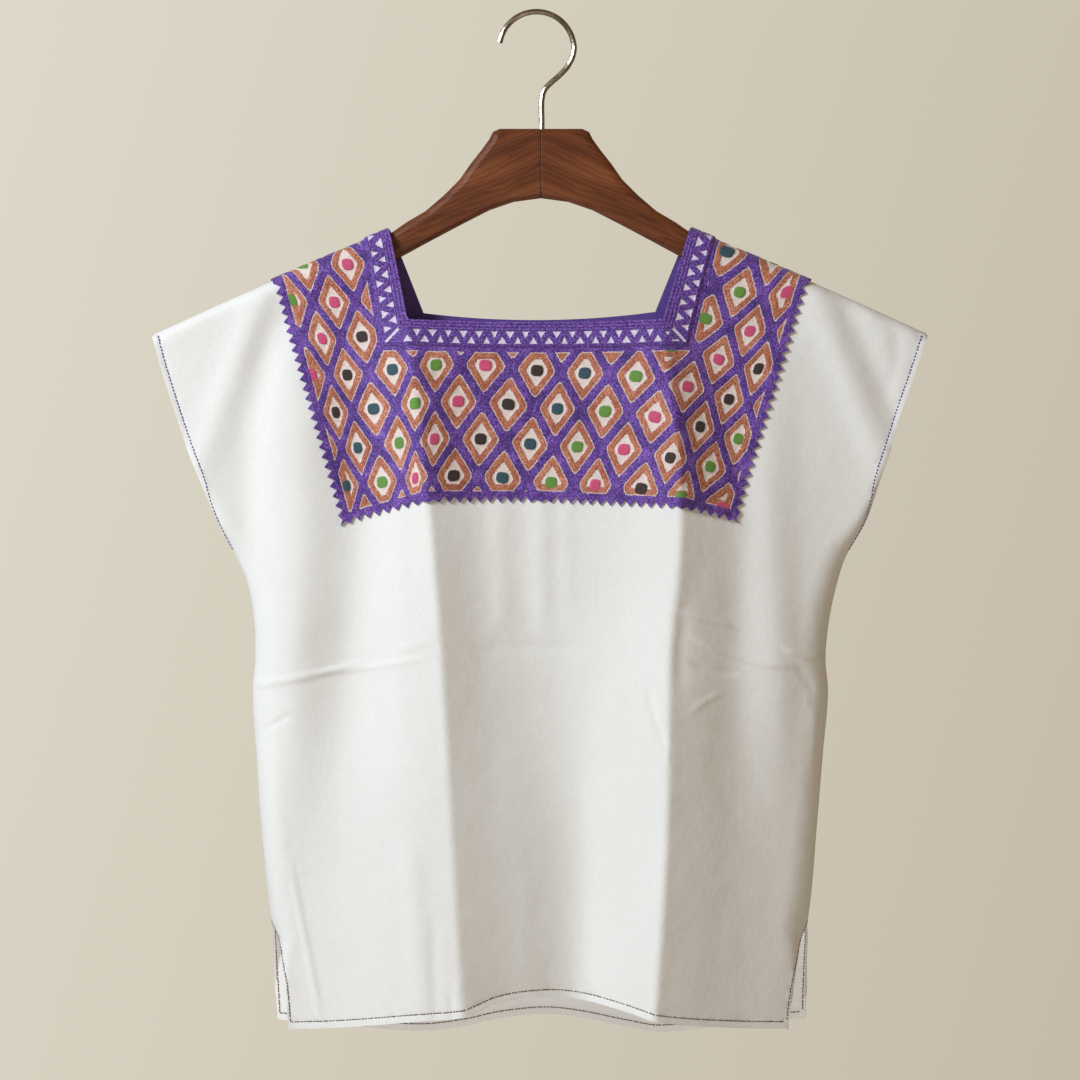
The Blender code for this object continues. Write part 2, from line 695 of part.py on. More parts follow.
def hanger_outline():
    """Half of the hanger's outline, from the middle of its top round to the middle of its arch."""
    clear = PANEL_WALL / 2 + HANGER_CLEAR
    slope = math.hypot(1.0, SHOULDER_SLOPE)
    half = [(x * MM, z * MM) for x, z in HANGER_TOP]
    end_x = HANGER_HALF - HANGER_END_RADIUS
    for x in np.linspace(HANGER_ARM_X, end_x, 6):
        half.append((x, float(shoulder_height(x)) - clear * slope))
    top_z = float(shoulder_height(HANGER_HALF)) - clear * slope
    middle_z = top_z - HANGER_END_HEIGHT / 2
    for degrees in (60, 30, 0, -30, -60, -90):
        angle = math.radians(degrees)
        half.append((
            end_x + HANGER_END_RADIUS * math.cos(angle),
            middle_z + HANGER_END_HEIGHT / 2 * math.sin(angle),
        ))
    half += [(x * MM, z * MM) for x, z in HANGER_UNDER[::-1]]
    return half


def hanger(finish):
    half = hanger_outline()
    outline = half + [(-x, z) for x, z in half[::-1] if x > 0]
    mesh = bpy.data.meshes.new("hanger")
    count = len(outline)
    depth = HANGER_THICKNESS / 2
    points = [Vector((x, -depth, z)) for x, z in outline]
    points += [Vector((x, depth, z)) for x, z in outline]
    faces = [tuple(range(count - 1, -1, -1)), tuple(range(count, 2 * count))]
    for i in range(count):
        after = (i + 1) % count
        faces.append((i, after, after + count, i + count))
    mesh.from_pydata(points, [], faces)
    mesh.update()
    made = bpy.data.objects.new("hanger", mesh)
    bpy.context.scene.collection.objects.link(made)
    made.data.materials.append(finish)
    rounding = made.modifiers.new("rounded edges", "BEVEL")
    rounding.width = HANGER_EDGE
    rounding.segments = 3
    rounding.limit_method = "ANGLE"
    rounding.angle_limit = math.radians(60)
    bore = hook_bore()
    cut = made.modifiers.new("hook bore", "BOOLEAN")
    cut.operation = "DIFFERENCE"
    cut.object = bore
    return made


def hook_bore():
    bpy.ops.mesh.primitive_cylinder_add(
        vertices=16,
        radius=BORE_RADIUS,
        depth=2 * (HOOK_STEM[-2][1] * MM - BORE_BOTTOM),
        location=(HOOK_STEM[-1][0] * MM, 0.0, HOOK_STEM[-2][1] * MM),
    )
    bore = bpy.context.object
    bore.name = "hook_bore_cutter"
    bore.hide_render = True
    bore.display_type = "WIRE"
    return bore


def hook(finish):
    """Bent wire: a round hook, an S bend and a straight stem in the hanger's bore."""
    route = []
    for i in range(HOOK_ARC_POINTS):
        angle = HOOK_TIP_ANGLE + (HOOK_LEAVE_ANGLE - HOOK_TIP_ANGLE) * i / (HOOK_ARC_POINTS - 1)
        route.append((
            HOOK_CENTRE[0] + HOOK_RADIUS * math.cos(angle),
            HOOK_CENTRE[1] + HOOK_RADIUS * math.sin(angle),
        ))
    route += [(x * MM, z * MM) for x, z in HOOK_STEM]
    curve = bpy.data.curves.new("hanger_hook", "CURVE")
    curve.dimensions = "3D"
    curve.bevel_depth = WIRE_RADIUS
    curve.bevel_resolution = 2
    curve.use_fill_caps = True
    curve.resolution_u = 3
    spline = curve.splines.new("BEZIER")
    spline.bezier_points.add(len(route) - 1)
    for knot, (x, z) in zip(spline.bezier_points, route):
        knot.co = (x, 0.0, z)
        knot.handle_left_type = "AUTO"
        knot.handle_right_type = "AUTO"
    curve.materials.append(finish)
    made = bpy.data.objects.new("hanger_hook", curve)
    bpy.context.scene.collection.objects.link(made)
    return made


def main():
    clear_scene()
    cotton = material("white_cotton", (0.83, 0.82, 0.80), 0.85)
    purple = material("embroidery", (0.17, 0.09, 0.42), 0.7)
    trim = material("neckband_trim", (0.13, 0.07, 0.36), 0.7)
    walnut = material("walnut", (0.17, 0.06, 0.03), 0.4)
    wire = material("hook_metal", (0.45, 0.38, 0.31), 0.3, 1.0)
    for side in ("front", "back"):
        garment_side(side, cotton, purple, trim)
    hanger(walnut)
    hook(wire)


main()
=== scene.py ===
"""A white cotton blouse with an embroidered yoke on a wooden hanger, dressed over its solids.

Units are metres, +Z is up and the front faces -Y. The origin is the inside of the hook's top. The
tables are in millimetres. Every piece of cloth is drawn flat, in coordinates across and up, and draped
by one function.
"""

import math
from functools import partialmethod

import bpy
import numpy as np
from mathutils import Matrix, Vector
from mathutils.geometry import delaunay_2d_cdt


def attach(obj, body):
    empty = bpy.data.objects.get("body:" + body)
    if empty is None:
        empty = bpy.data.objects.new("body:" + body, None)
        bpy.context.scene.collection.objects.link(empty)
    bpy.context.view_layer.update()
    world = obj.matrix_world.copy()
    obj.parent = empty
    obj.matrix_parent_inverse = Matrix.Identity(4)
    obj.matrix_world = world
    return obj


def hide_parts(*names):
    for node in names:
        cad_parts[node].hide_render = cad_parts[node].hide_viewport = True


MM = 0.001
SIDES = ("front", "back")

# Cloth walls, measured out from the middle of the cotton
COTTON = (-0.6 * MM, 0.6 * MM)
YOKE = (0.8 * MM, 1.9 * MM)
BAND = (2.6 * MM, 3.6 * MM)

# Shoulder fold: it falls from the neck to the sleeve tip, steeper further out
SHOULDER_X = 121 * MM
SHOULDER_Z = -174.5 * MM
SHOULDER_SLOPE = 0.405
SHOULDER_BEND = 0.16
FOLD_RADIUS = 9.5 * MM
FOLD_TO_DRAPE = 150 * MM
SEAM_RADIUS = 20 * MM
QUARTER_EXTRA = math.pi / 2 - 1  # flat length past the real edge, for a roll of radius 1

# Side outline, from the sleeve tip down its edge to the underarm, the side and the slit
SIDE_COLUMNS = ("z", "front_left", "front_right", "back_left", "back_right", "open")
SIDE_ROWS = (
    (-240, 314, 313, 314, 313, 1),
    (-276, 305, 302, 305, 303, 1),
    (-308, 295, 291, 295, 293, 1),
    (-340, 284, 280, 284, 283, 1),
    (-372, 271, 269, 271, 272, 0.9),
    (-404, 258, 259, 258, 260, 0.5),
    (-434, 243, 243, 243, 243, 0),
    (-452, 235, 237, 235, 237, 0),
    (-484, 229, 230, 229, 230, 0),
    (-516, 228, 227, 228, 227, 0),
    (-540, 230, 229, 230, 229, 0),
    (-590, 227, 225, 227, 225, 0),
    (-650, 223, 220, 223, 220, 0),
    (-708, 217, 215, 217, 215, 0),
    (-726, 214, 212, 214, 212, 0),
    (-736, 208.5, 207.5, 214, 213, 0.3),
    (-756, 204, 203, 214, 213, 0.8),
    (-790, 201, 198, 213, 213, 1),
    (-820, 199, 195, 211, 212, 1),
)

# Hem height across the width
HEM_COLUMNS = ("x", "front", "back")
HEM_ROWS = (
    (-215, -808, -806),
    (-160, -804.5, -811),
    (-95, -796, -815),
    (-60, -792, -810),
    (-35, -783.5, -805),
    (0, -780.5, -803),
    (37, -784.5, -806),
    (66, -790, -811),
    (95, -797, -815),
    (155, -805, -811),
    (215, -809, -805),
)

# Folds from left to right: place across and distance from the hanger's plane at five heights.
# A sharp fold is a pressed crease, and the others are soft.
LEVELS = (-245, -400, -520, -650, -800)
FOLDS = {
    "front": (
        ((-312,) * 5, (12, 14, 14, 14, 14), 0),
        ((-250, -238, -230, -222, -212), (15, 16, 17, 26, 27), 0),
        ((-205, -192, -199, -199, -196), (18, 26, 29, 28, 28), 0),
        ((-150, -139, -151, -165, -165), (12, 20, 23, 31, 35), 0),
        ((-124, -110, -103, -100, -98), (20, 32, 42, 51, 59), 0),
        ((-106, -88, -78, -70, -61), (27, 42, 50, 57, 67), 1),
        ((-70, -52, -42, -24, -12), (18, 28, 33, 38, 42), 0),
        ((-8, 10, 30, 34, 36), (15, 23, 26, 27, 28), 0),
        ((54, 62, 62, 61, 58), (18, 28, 35, 39, 43), 0),
        ((96, 110, 101, 98, 88), (27, 43, 53, 59, 65), 1),
        ((118, 134, 128, 124, 119), (17, 31, 41, 47, 51), 0),
        ((146, 158, 154, 158, 162), (12, 22, 29, 31, 32), 0),
        ((184, 182, 190, 190, 192), (14, 21, 26, 21, 21), 0),
        ((214, 208, 212, 210, 206), (12, 15, 18, 16, 15), 0),
        ((250, 236, 227, 222, 214), (13, 12, 15, 15, 14), 0),
        ((312,) * 5, (12, 14, 14, 14, 14), 0),
    ),
    "back": (
        ((-312,) * 5, (12, 13, 13, 13, 13), 0),
        ((-245, -235, -228, -222, -212), (13, 15, 17, 17, 15), 0),
        ((-190, -182, -186, -180, -172), (11, 13, 13, 15, 17), 0),
        ((-150, -140, -140, -128, -118), (15, 18, 19, 18, 16), 0),
        ((-93, -84, -76, -68, -58), (14, 12, 10, 9, 7), 1),
        ((-66, -50, -40, -36, -22), (16, 17, 17, 16, 15), 0),
        ((-10, 4, 8, 2, 6), (19, 23, 25, 26, 24), 0),
        ((62, 70, 62, 60, 50), (16, 17, 17, 16, 15), 0),
        ((92, 104, 98, 96, 92), (14, 12, 9, 8, 6), 1),
        ((118, 130, 128, 124, 124), (15, 17, 17, 15, 14), 0),
        ((156, 160, 158, 166, 172), (12, 14, 16, 15, 13), 0),
        ((192, 196, 190, 194, 198), (14, 16, 15, 17, 18), 0),
        ((250, 236, 227, 222, 214), (12, 15, 16, 16, 14), 0),
        ((312,) * 5, (12, 13, 13, 13, 13), 0),
    ),
}
CREASE_STEEPNESS = 1.05

# Small creases laid over the folds, in mm: x and z of three points of a curve, its width, and its
# height, which is how far the cloth stands out there, or in where it is negative.
CREASES = {
    "front": (
        (-275, -540, -190, -529, -130, -514, 2.8, 1.6), (-176, -527, -130, -520, -84, -512, 2.6, 0.9),
        (-118, -508, -98, -503, -82, -499, 3.2, 0.8), (-232, -577, -214, -568, -194, -555, 2.4, -0.9),
        (-62, -508, -8, -505, 46, -508, 4, -0.6), (104, -475, 127, -482, 156, -491, 2.6, 1.7),
        (112, -493, 142, -508, 206, -521, 2.8, 1.8), (112, -513, 134, -523, 160, -526, 2.8, -1.2),
        (113, -559, 126, -549, 146, -540, 2.6, 0.7), (186, -502, 209, -512, 248, -513, 2.6, 2.0),
        (202, -519, 210, -530, 217, -545, 3.4, -0.7), (219, -548, 217, -576, 215, -606, 4, 1.1),
        (114, -462, 109, -496, 109, -544, 7, -1.6), (83, -530, 89, -558, 103, -592, 2.8, -1.2),
        (-201, -664, -187, -732, -171, -812, 2.6, 1.4), (-104, -636, -98, -718, -90, -820, 9, 1.5),
        (-85, -705, -83, -755, -82, -820, 4, -0.8), (-71, -768, -69, -790, -68, -820, 2.6, -0.7),
        (-32, -364, -31, -435, -29, -508, 10, 1.2), (0, -366, 0, -435, 2, -506, 7.5, 1.0),
        (20, -372, 21, -425, 22, -482, 5, 0.45), (-208, -190, -246, -292, -284, -396, 13, 3.0),
        (-196, -205, -231, -335, -222, -480, 15, -3.0), (204, -194, 241, -280, 284, -392, 13, 3.0),
        (228, -200, 263, -277, 293, -352, 11, -2.4), (266, -226, 283, -262, 268, -312, 6, -0.9),
    ),
    "back": (
        (-245, -522, -150, -531, -86, -512, 2.8, 1.3), (-216, -536, -160, -543, -98, -526, 2.8, 0.8),
        (-60, -516, 5, -511, 66, -519, 4, -0.7), (104, -498, 160, -510, 240, -503, 2.8, 1.3),
        (110, -560, 124, -552, 141, -549, 2.6, -0.9), (176, -648, 186, -712, 181, -812, 2.8, 1.3),
        (-152, -690, -141, -748, -146, -820, 6, -1.2), (26, -366, 27, -436, 23, -490, 9, 1.1),
        (-18, -366, -16, -430, -20, -480, 7, 0.9), (42, -372, 43, -420, 45, -464, 5, 0.5),
        (-212, -196, -243, -300, -280, -390, 13, 2.4), (-232, -210, -262, -290, -290, -350, 11, -2.0),
        (206, -200, 240, -300, 276, -400, 14, 2.6), (196, -215, 226, -330, 222, -470, 15, -2.4),
    ),
}

# Yoke outline: outer shoulder corner, bottom corner, the bottom at the ridges and its middle
YOKE_SHOULDER_X = 215.5 * MM
YOKE_BOTTOM = {
    "front": ((-159, -409), (-89, -391), (0, -390.5), (110, -396), (155, -407)),
    "back": ((-160, -409), (-84, -394), (4, -392), (104, -395), (158, -408)),
}
YOKE_SEAM = 9 * MM
TOOTH_PITCH = 8 * MM
TOOTH_DEPTH = 5 * MM

# Square neck: corner points of the opening, front and back
NECK_CORNER = {
    "front": ((-105.5, -246), (96.5, -246)),
    "back": ((-94.5, -238), (92, -237)),
}
NECK_SAG = {"front": 1.5 * MM, "back": 6 * MM}
NECK_SHOULDER_X = (-121.5 * MM, 119.5 * MM)
BAND_WIDTH = 20.5 * MM
BAND_LEAN = 0.95

# Where the lines of the diamond pattern lie across the cloth, at five evenly spaced heights
PATTERN_TOP = -168 * MM
PATTERN_FOOT = -402 * MM
PATTERN_LINES = {
    -4: (-261, -235, -211, -198, -191),
    -3: (-221, -200, -183, -172, -164),
    -2: (-181, -165.5, -155, -146, -137.5),
    -1: (-142, -130, -117, -111, -108),
    0: (-80, -82.5, -84, -85, -88),
    1: (-39, -41, -44.5, -48.5, -52.5),
    2: (4, 1.5, -3, -8.5, -13.5),
    3: (45, 40.5, 35, 29, 24),
    4: (94, 86.5, 76.5, 67, 56),
    5: (157.5, 136.5, 119, 105.5, 93.5),
    6: (196.5, 176, 156.5, 138, 119.5),
    7: (233, 212.5, 188, 172.5, 164),
    8: (270, 249, 220, 206, 200),
}

# Places across the cloth, and how far the pattern's rows hang below level there
DROP_ROWS = (
    (-198, 3), (-167, 5), (-135, 2.5), (-111, 0), (-80, -3), (-44, -3), (-5, 1),
    (47, 4), (78, 6.5), (102, 12), (126, 17), (149, 24), (173, 29), (197, 26),
)
FIRST_ROW_Z = -285 * MM

# Diamonds, in mm: their size, and distances from the middle of a purple line
DIAMOND_WIDTH = 40.0
DIAMOND_ROW = 29.4
LINE_SCALE = 33.1
CORNER_POWER = 9.0
LINE_EDGE = (3.1, 3.9)
RING_IN = (3.8, 4.5)
RING_OUT = (8.6, 9.3)
DOT_SIZE = (5.2, 4.7)
DOT_SQUARENESS = 2.8
BORDER_OUT = 8.8
BORDER_NECK = 3.6

# Colours of the dots, one for each slanting row
DOT_ORDER = ("green", "pink", "brown", "teal") * 2 + ("green", "pink", "brown") * 2
DOT_FIRST = -4

# White triangles of the neckband, in mm out from the edge of the neck
TRIANGLE_PITCH = 12.4
TRIANGLE_HALF = 3.5
UPPER_TRIANGLE = (7.6, 13.2)
LOWER_TRIANGLE = (11.9, 17.5)
TRIANGLES_STOP = 5.0
SLIT_HALF = 1.2
SLIT_RUN = (7.5, 18.0)
BAND_ROW = 2.6
BAND_BEVEL = 0.8

# Raised thread
RELIEF_LINE = 0.7
RELIEF_RING = 0.5
RELIEF_DOT = 0.75
RELIEF_BAND = 0.5

# Hems: place of the stitching, and extra thickness of the turned cloth
HEM_INSET = 5.6 * MM
SLIT_INSET = 2.2 * MM
SLEEVE_INSET = 4.6 * MM
HEM_THICKER = 0.35 * MM
HEM_GROOVE = 0.3 * MM
SLIT_TOP_Z = -724 * MM
UNDERARM_Z = -429 * MM
HEM_LINE_GAP = 1.1 * MM
HEM_EDGE_Z = -800 * MM
SLEEVE_LINE_TOP = -257 * MM
PURPLE_STITCH = (2.8, 2.1, 0.55)  # pitch, length and radius
BROWN_STITCH = (2.6, 2.3, 0.5)
STITCH_SIDES = 5
STITCH_RINGS = (0.0, 0.22, 0.78, 1.0)
STITCH_SHAPE = ((-0.3, 0.55), (0.45, 1.0), (0.45, 1.0), (-0.3, 0.55))  # lift and width in radii

# Mesh spacing
COTTON_GRID = (3.2 * MM, 5.6 * MM)
YOKE_GRID = (1.5 * MM, 1.9 * MM)
BAND_GRID = (0.9 * MM, 0.9 * MM)
COTTON_ROLL = (232 * MM, 298 * MM, 3.5 * MM)  # start, end and step along the fold
YOKE_ROLL = (126 * MM, 205 * MM, 2 * MM)
ROLL_STEP = 2.4 * MM
ROLL_ROWS = 6
CREASE_STEP = 3.5 * MM
CREASE_GUIDES = (-2.1, -1.4, -0.7, 0.0, 0.7, 1.4, 2.1)  # in widths of the crease
EDGE_CLEAR = 0.45
ROW_RATIO = 0.87
ON_LINE = 0.01 * MM
SLEEVE_TIP_Z = -253 * MM
SETTLE_ROUNDS = 20
NORMAL_STEP = 0.4 * MM

# Camera and light
CAMERA_PLACE = (-0.0008, -2.4, -0.4204)
CAMERA_LENS = 100
FLOOR_Z = -1.35
FLOOR_HALF = 2.0
AMBIENT_LEFT = (0.222, 0.2, 0.175)
AMBIENT_RIGHT = (0.275, 0.198, 0.112)
LIGHTS = (  # name, place, target, size, power and colour
    ("key", (-1.7, -1.5, 0.7), (0, 0, -0.45), 0.8, 58, (0.84, 0.92, 0.985)),
    ("fill", (0.5, -2.2, -1.15), (0, 0, -0.75), 1.2, 4, (1.0, 0.84, 0.68)),
)


def column(rows, index):
    return np.array([row[index] for row in rows], float) * MM


def bend(t, rise, lean_in, lean_out):
    """A rise from 0 along a smooth curve that has its own slope at each end."""
    return rise * (3 * t**2 - 2 * t**3) + lean_in * (t**3 - 2 * t**2 + t) + lean_out * (t**3 - t**2)


def smooth_between(value, places, amounts):
    """Read a table at a value, with a rounded path through its rows."""
    order = np.argsort(places)
    places = np.asarray(places, float)[order]
    amounts = np.asarray(amounts, float)[order]
    steps = np.diff(places)
    rises = np.diff(amounts) / steps
    slopes = np.concatenate([rises[:1], (rises[1:] + rises[:-1]) / 2, rises[-1:]])
    value = np.clip(value, places[0], places[-1])
    cell = np.clip(np.searchsorted(places, value) - 1, 0, len(steps) - 1)
    width = steps[cell]
    t = (value - places[cell]) / width
    rise = amounts[cell + 1] - amounts[cell]
    return amounts[cell] + bend(t, rise, slopes[cell] * width, slopes[cell + 1] * width)


def shoulder_height(x):
    out = np.abs(x) - SHOULDER_X
    return SHOULDER_Z - SHOULDER_SLOPE * out - SHOULDER_BEND * np.maximum(out, 0) ** 2


def side_edge(x, z, side):
    """Real distance out to the panel's edge at a height, and how open it is there."""
    left, right, opened = (
        smooth_between(z, column(SIDE_ROWS, 0), column(SIDE_ROWS, SIDE_COLUMNS.index(name)))
        for name in (side + "_left", side + "_right", "open")
    )
    return np.where(x < 0, left, right), np.clip(opened / MM, 0.0, 1.0)


def side_roll(opened):
    return np.maximum(SEAM_RADIUS * (1 - opened), ON_LINE)


def fold_depth(x, z, side):
    """Distance of the cloth from the hanger's plane.

    Its curve runs on through a soft fold, and meets a sharp one at each side's own slope.
    """
    folds = FOLDS[side]
    heights = np.array(LEVELS) * MM
    places, depths = (
        [smooth_between(z, heights, np.array(row[part]) * MM) for row in folds] for part in (0, 1)
    )
    sharp = [row[2] for row in folds]
    widths = [after - before for before, after in zip(places, places[1:])]
    rises = [after - before for before, after in zip(depths, depths[1:])]
    last = len(widths)
    soft = [0.0] * (last + 1)
    for i in range(1, last):
        before, after = widths[i - 1], widths[i]
        soft[i] = (rises[i - 1] / before * after + rises[i] / after * before) / (before + after)
    result = depths[0]
    for i in range(last):
        crease = rises[i] * CREASE_STEEPNESS
        start, end = (crease if sharp[j] else soft[j] * widths[i] for j in (i, i + 1))
        t = np.clip((x - places[i]) / widths[i], 0.0, 1.0)
        result = result + bend(t, rises[i], start, end)
    return result


def crease_curve(row):
    """Start, direction and length of a small crease, and how far it bows out."""
    x1, z1, x2, z2, x3, z3 = (value * MM for value in row[:6])
    run = np.array([x3 - x1, z3 - z1])
    length = float(np.hypot(*run))
    run = run / length
    half = ((x2 - x1) * run[0] + (z2 - z1) * run[1]) / length
    bow = ((z2 - z1) * run[0] - (x2 - x1) * run[1]) / (half * (1 - half))
    return np.array([x1, z1]), run, length, bow


def crease_depth(x, z, side):
    """How far the small creases move the cloth out. Each fades towards its ends."""
    result = np.zeros(np.shape(x))
    for row in CREASES[side]:
        width, height = (value * MM for value in row[6:])
        start, run, length, bow = crease_curve(row)
        along = ((x - start[0]) * run[0] + (z - start[1]) * run[1]) / length
        away = (z - start[1]) * run[0] - (x - start[0]) * run[1] - bow * along * (1 - along)
        fade = rising(np.minimum(along, 1 - along), 0.0, 0.25)
        result = result + height * fade * np.exp(-((away / width) ** 2))
    return result


def drape(across, up, side):
    """Turn flat coordinates into a point on the middle of the cloth's wall."""
    top = shoulder_height(across)
    along = top + QUARTER_EXTRA * FOLD_RADIUS - up
    turn = np.minimum(along / FOLD_RADIUS, math.pi / 2)
    z = np.where(turn < math.pi / 2, top - FOLD_RADIUS * (1 - np.cos(turn)), up)
    edge, opened = side_edge(across, z, side)
    roll = side_roll(opened)
    inward = edge + QUARTER_EXTRA * roll - np.abs(across)
    lean = np.minimum(inward / roll, math.pi / 2)
    from_edge = np.where(lean < math.pi / 2, roll * (1 - np.cos(lean)), inward - QUARTER_EXTRA * roll)
    x = np.sign(across) * (edge - from_edge)
    rounding = opened + (1 - opened) * np.sin(lean)
    height = SHOULDER_Z - SHOULDER_SLOPE * np.maximum(np.abs(x) - SHOULDER_X, 0) - z
    share = rising(height, 0.0, FOLD_TO_DRAPE)
    depth = FOLD_RADIUS + (fold_depth(x, z, side) - FOLD_RADIUS) * share
    depth = depth + crease_depth(x, z, side)
    behind = 1.0 if side == "back" else -1.0
    y = behind * depth * rounding * np.sin(turn)
    return np.stack([x, y, z], axis=-1)


def outward(across, up, side):
    """Unit normals of the cloth, away from the hanger."""
    step = NORMAL_STEP
    sideways = drape(across + step, up, side) - drape(across - step, up, side)
    upward = drape(across, up + step, side) - drape(across, up - step, side)
    normal = np.cross(sideways, upward)
    if side == "back":
        normal = -normal
    return normal / np.linalg.norm(normal, axis=-1, keepdims=True)


def along_path(path, step):
    """The same path with a point at every step."""
    result = []
    for start, end in zip(path, path[1:]):
        run = np.subtract(end, start)
        count = max(1, int(round(np.hypot(*run) / step)))
        result += [tuple(start + run * i / count) for i in range(count)]
    return result + [tuple(path[-1])]


def from_piece(points, start, end):
    """Distance of each point from a straight piece of a line."""
    run = end - start
    share = np.clip(((points - start) @ run) / max(float(run @ run), 1e-12), 0.0, 1.0)
    return np.hypot(*(points - (start + share[:, None] * run)).T)


def near_lines(points, starts, ends, clear):
    """Which points lie close to any of the line pieces."""
    found = np.zeros(len(points), bool)
    for start, end in zip(starts, ends):
        low = np.minimum(start, end) - clear
        high = np.maximum(start, end) + clear
        close = np.nonzero(np.all((points > low) & (points < high), axis=1))[0]
        found[close] |= from_piece(points[close], start, end) < clear
    return found


def inside_loop(points, loop):
    """Which points lie inside a closed loop."""
    crossings = np.zeros(len(points), int)
    for start, end in zip(loop, np.roll(loop, -1, axis=0)):
        spans = (start[1] > points[:, 1]) != (end[1] > points[:, 1])
        rise = np.where(end[1] == start[1], 1.0, end[1] - start[1])
        meet = start[0] + (points[:, 1] - start[1]) * (end[0] - start[0]) / rise
        crossings += spans & (points[:, 0] < meet)
    return crossings % 2 == 1


def filled_outline(loop, guides, grid):
    """Triangulate an outline with staggered rows of points and guide lines inside it."""
    across, down = grid
    squeeze = np.array([1.0, across / down])
    loop = np.array(loop, float) * squeeze
    lines = [np.array(line, float) * squeeze for line in guides]
    low, high = loop.min(axis=0), loop.max(axis=0)
    inner = []
    for i, height in enumerate(np.arange(low[1] + across / 2, high[1], across * ROW_RATIO)):
        places = np.arange(low[0] + across * (0.5 + 0.5 * (i % 2)), high[0], across)
        inner += [(x, height) for x in places]
    inner = np.array(inner)
    starts = np.concatenate([loop] + [line[:-1] for line in lines])
    ends = np.concatenate([np.roll(loop, -1, axis=0)] + [line[1:] for line in lines])
    keep = inside_loop(inner, loop) & ~near_lines(inner, starts, ends, EDGE_CLEAR * across)
    points = list(loop)
    edges = [(i, (i + 1) % len(loop)) for i in range(len(loop))]
    for line in lines:
        edges += [(i, i + 1) for i in range(len(points), len(points) + len(line) - 1)]
        points += list(line)
    found = delaunay_2d_cdt([Vector(p) for p in [*points, *inner[keep]]], edges, [], 1, 1e-6)
    flat = np.array([tuple(p) for p in found[0]]) / squeeze
    return flat, np.array([tuple(face) for face in found[2]])


def hem_height(x, side):
    return smooth_between(x, column(HEM_ROWS, 0), column(HEM_ROWS, HEM_COLUMNS.index(side)))


def flat_top(x):
    """Flat height of the shoulder fold."""
    return float(shoulder_height(x)) + QUARTER_EXTRA * FOLD_RADIUS


def flat_edge(z, side, sign, inset=0.0):
    edge, opened = side_edge(np.array(sign * SHOULDER_X), np.array(z), side)
    return sign * float(edge + QUARTER_EXTRA * side_roll(opened) - inset)


def side_points(side, sign, step):
    """Flat points down one side, from the sleeve tip to the hem."""
    tip_z = SLEEVE_TIP_Z
    for _ in range(SETTLE_ROUNDS):
        tip_z = flat_top(flat_edge(tip_z, side, sign))
    hem_z = float(hem_height(sign * YOKE_SHOULDER_X, side))
    count = int(round((tip_z - hem_z) / step))
    return [(flat_edge(z, side, sign), z) for z in np.linspace(tip_z, hem_z, count + 1)]


def yoke_corners(side):
    """Corners of the yoke, from the left shoulder round to the right one."""
    top = YOKE_SHOULDER_X
    bottom = [(x * MM, z * MM) for x, z in YOKE_BOTTOM[side]]
    return [(-top, flat_top(top)), *bottom, (top, flat_top(top))]


def moved_in(path, distance):
    """The same path, moved to its left by a distance."""
    path = np.array(path, float)
    runs = np.diff(path, axis=0).T
    left = np.stack([-runs[1], runs[0]], axis=1) / np.hypot(*runs)[:, None]
    middle = np.concatenate([left[:1], left]) + np.concatenate([left, left[-1:]])
    return path + middle * distance * 2 / np.sum(middle**2, axis=1)[:, None]


def ends_on_fold(path):
    """Bring the two ends of a path back onto the shoulder fold."""
    path = [tuple(p) for p in path]
    for index, inner in ((0, 1), (-1, -2)):
        end = np.array(path[index])
        run = end - np.array(path[inner])
        for _ in range(SETTLE_ROUNDS):
            end = end + run / np.hypot(*run) * (flat_top(end[0]) - end[1])
        path[index] = tuple(end)
    return path


def panel_outline(side):
    """The white cloth: sides, hem, shoulder folds and the seam under the yoke."""
    step = COTTON_GRID[0]
    left, right = (side_points(side, sign, COTTON_GRID[1]) for sign in (-1, 1))
    hem_count = int((right[-1][0] - left[-1][0]) / step)
    hem_x = np.linspace(left[-1][0], right[-1][0], hem_count + 1)[1:-1]
    hem = [(x, float(hem_height(x, side))) for x in hem_x]
    seam = along_path(ends_on_fold(moved_in(yoke_corners(side), YOKE_SEAM)), step)
    right_fold = fold_run(right[0], seam[-1], step)
    return left + hem + right[::-1] + right_fold + seam[::-1] + fold_run(seam[0], left[0], step)


def fold_run(start, end, step):
    """Points along the shoulder fold between two points."""
    count = max(2, int(round(abs(end[0] - start[0]) / step)))
    return [(x, flat_top(x)) for x in np.linspace(start[0], end[0], count + 1)[1:-1]]


def roll_rows(inner, outer, step):
    """Guide lines where the cloth rolls over the shoulder fold."""
    return [
        [(x, flat_top(x) - row * ROLL_STEP) for x in sign * np.arange(inner, outer, step)]
        for sign in (-1, 1)
        for row in range(1, ROLL_ROWS + 1)
    ]


def toothed(path):
    """A zigzag with its tips on a path, and with shallower notches by a corner."""
    path = np.array(path, float)
    result = []
    for start, end in zip(path, path[1:]):
        run = end - start
        length = float(np.hypot(*run))
        run = run / length
        inside = np.array([-run[1], run[0]])
        teeth = int(round(length / TOOTH_PITCH))
        for i in range(teeth):
            depth = TOOTH_DEPTH * (0.5 if i in (0, teeth - 1) else 1.0)
            result.append(tuple(start + run * length * i / teeth))
            result.append(tuple(start + run * length * (i + 0.5) / teeth + inside * depth))
    result.append(tuple(path[-1]))
    return result


def yoke_edge(side):
    outline = toothed(yoke_corners(side))
    ends = (outline[0], outline[-1])
    return [p for p in outline if p in ends or p[1] < flat_top(p[0]) - TOOTH_DEPTH / 2]


def mitre(side, index):
    """Inner and outer end of the slanting joint at one corner of the neckband."""
    inner = np.array(NECK_CORNER[side][index]) * MM
    return inner, inner + ((-1, 1)[index] * BAND_WIDTH * BAND_LEAN, -BAND_WIDTH)


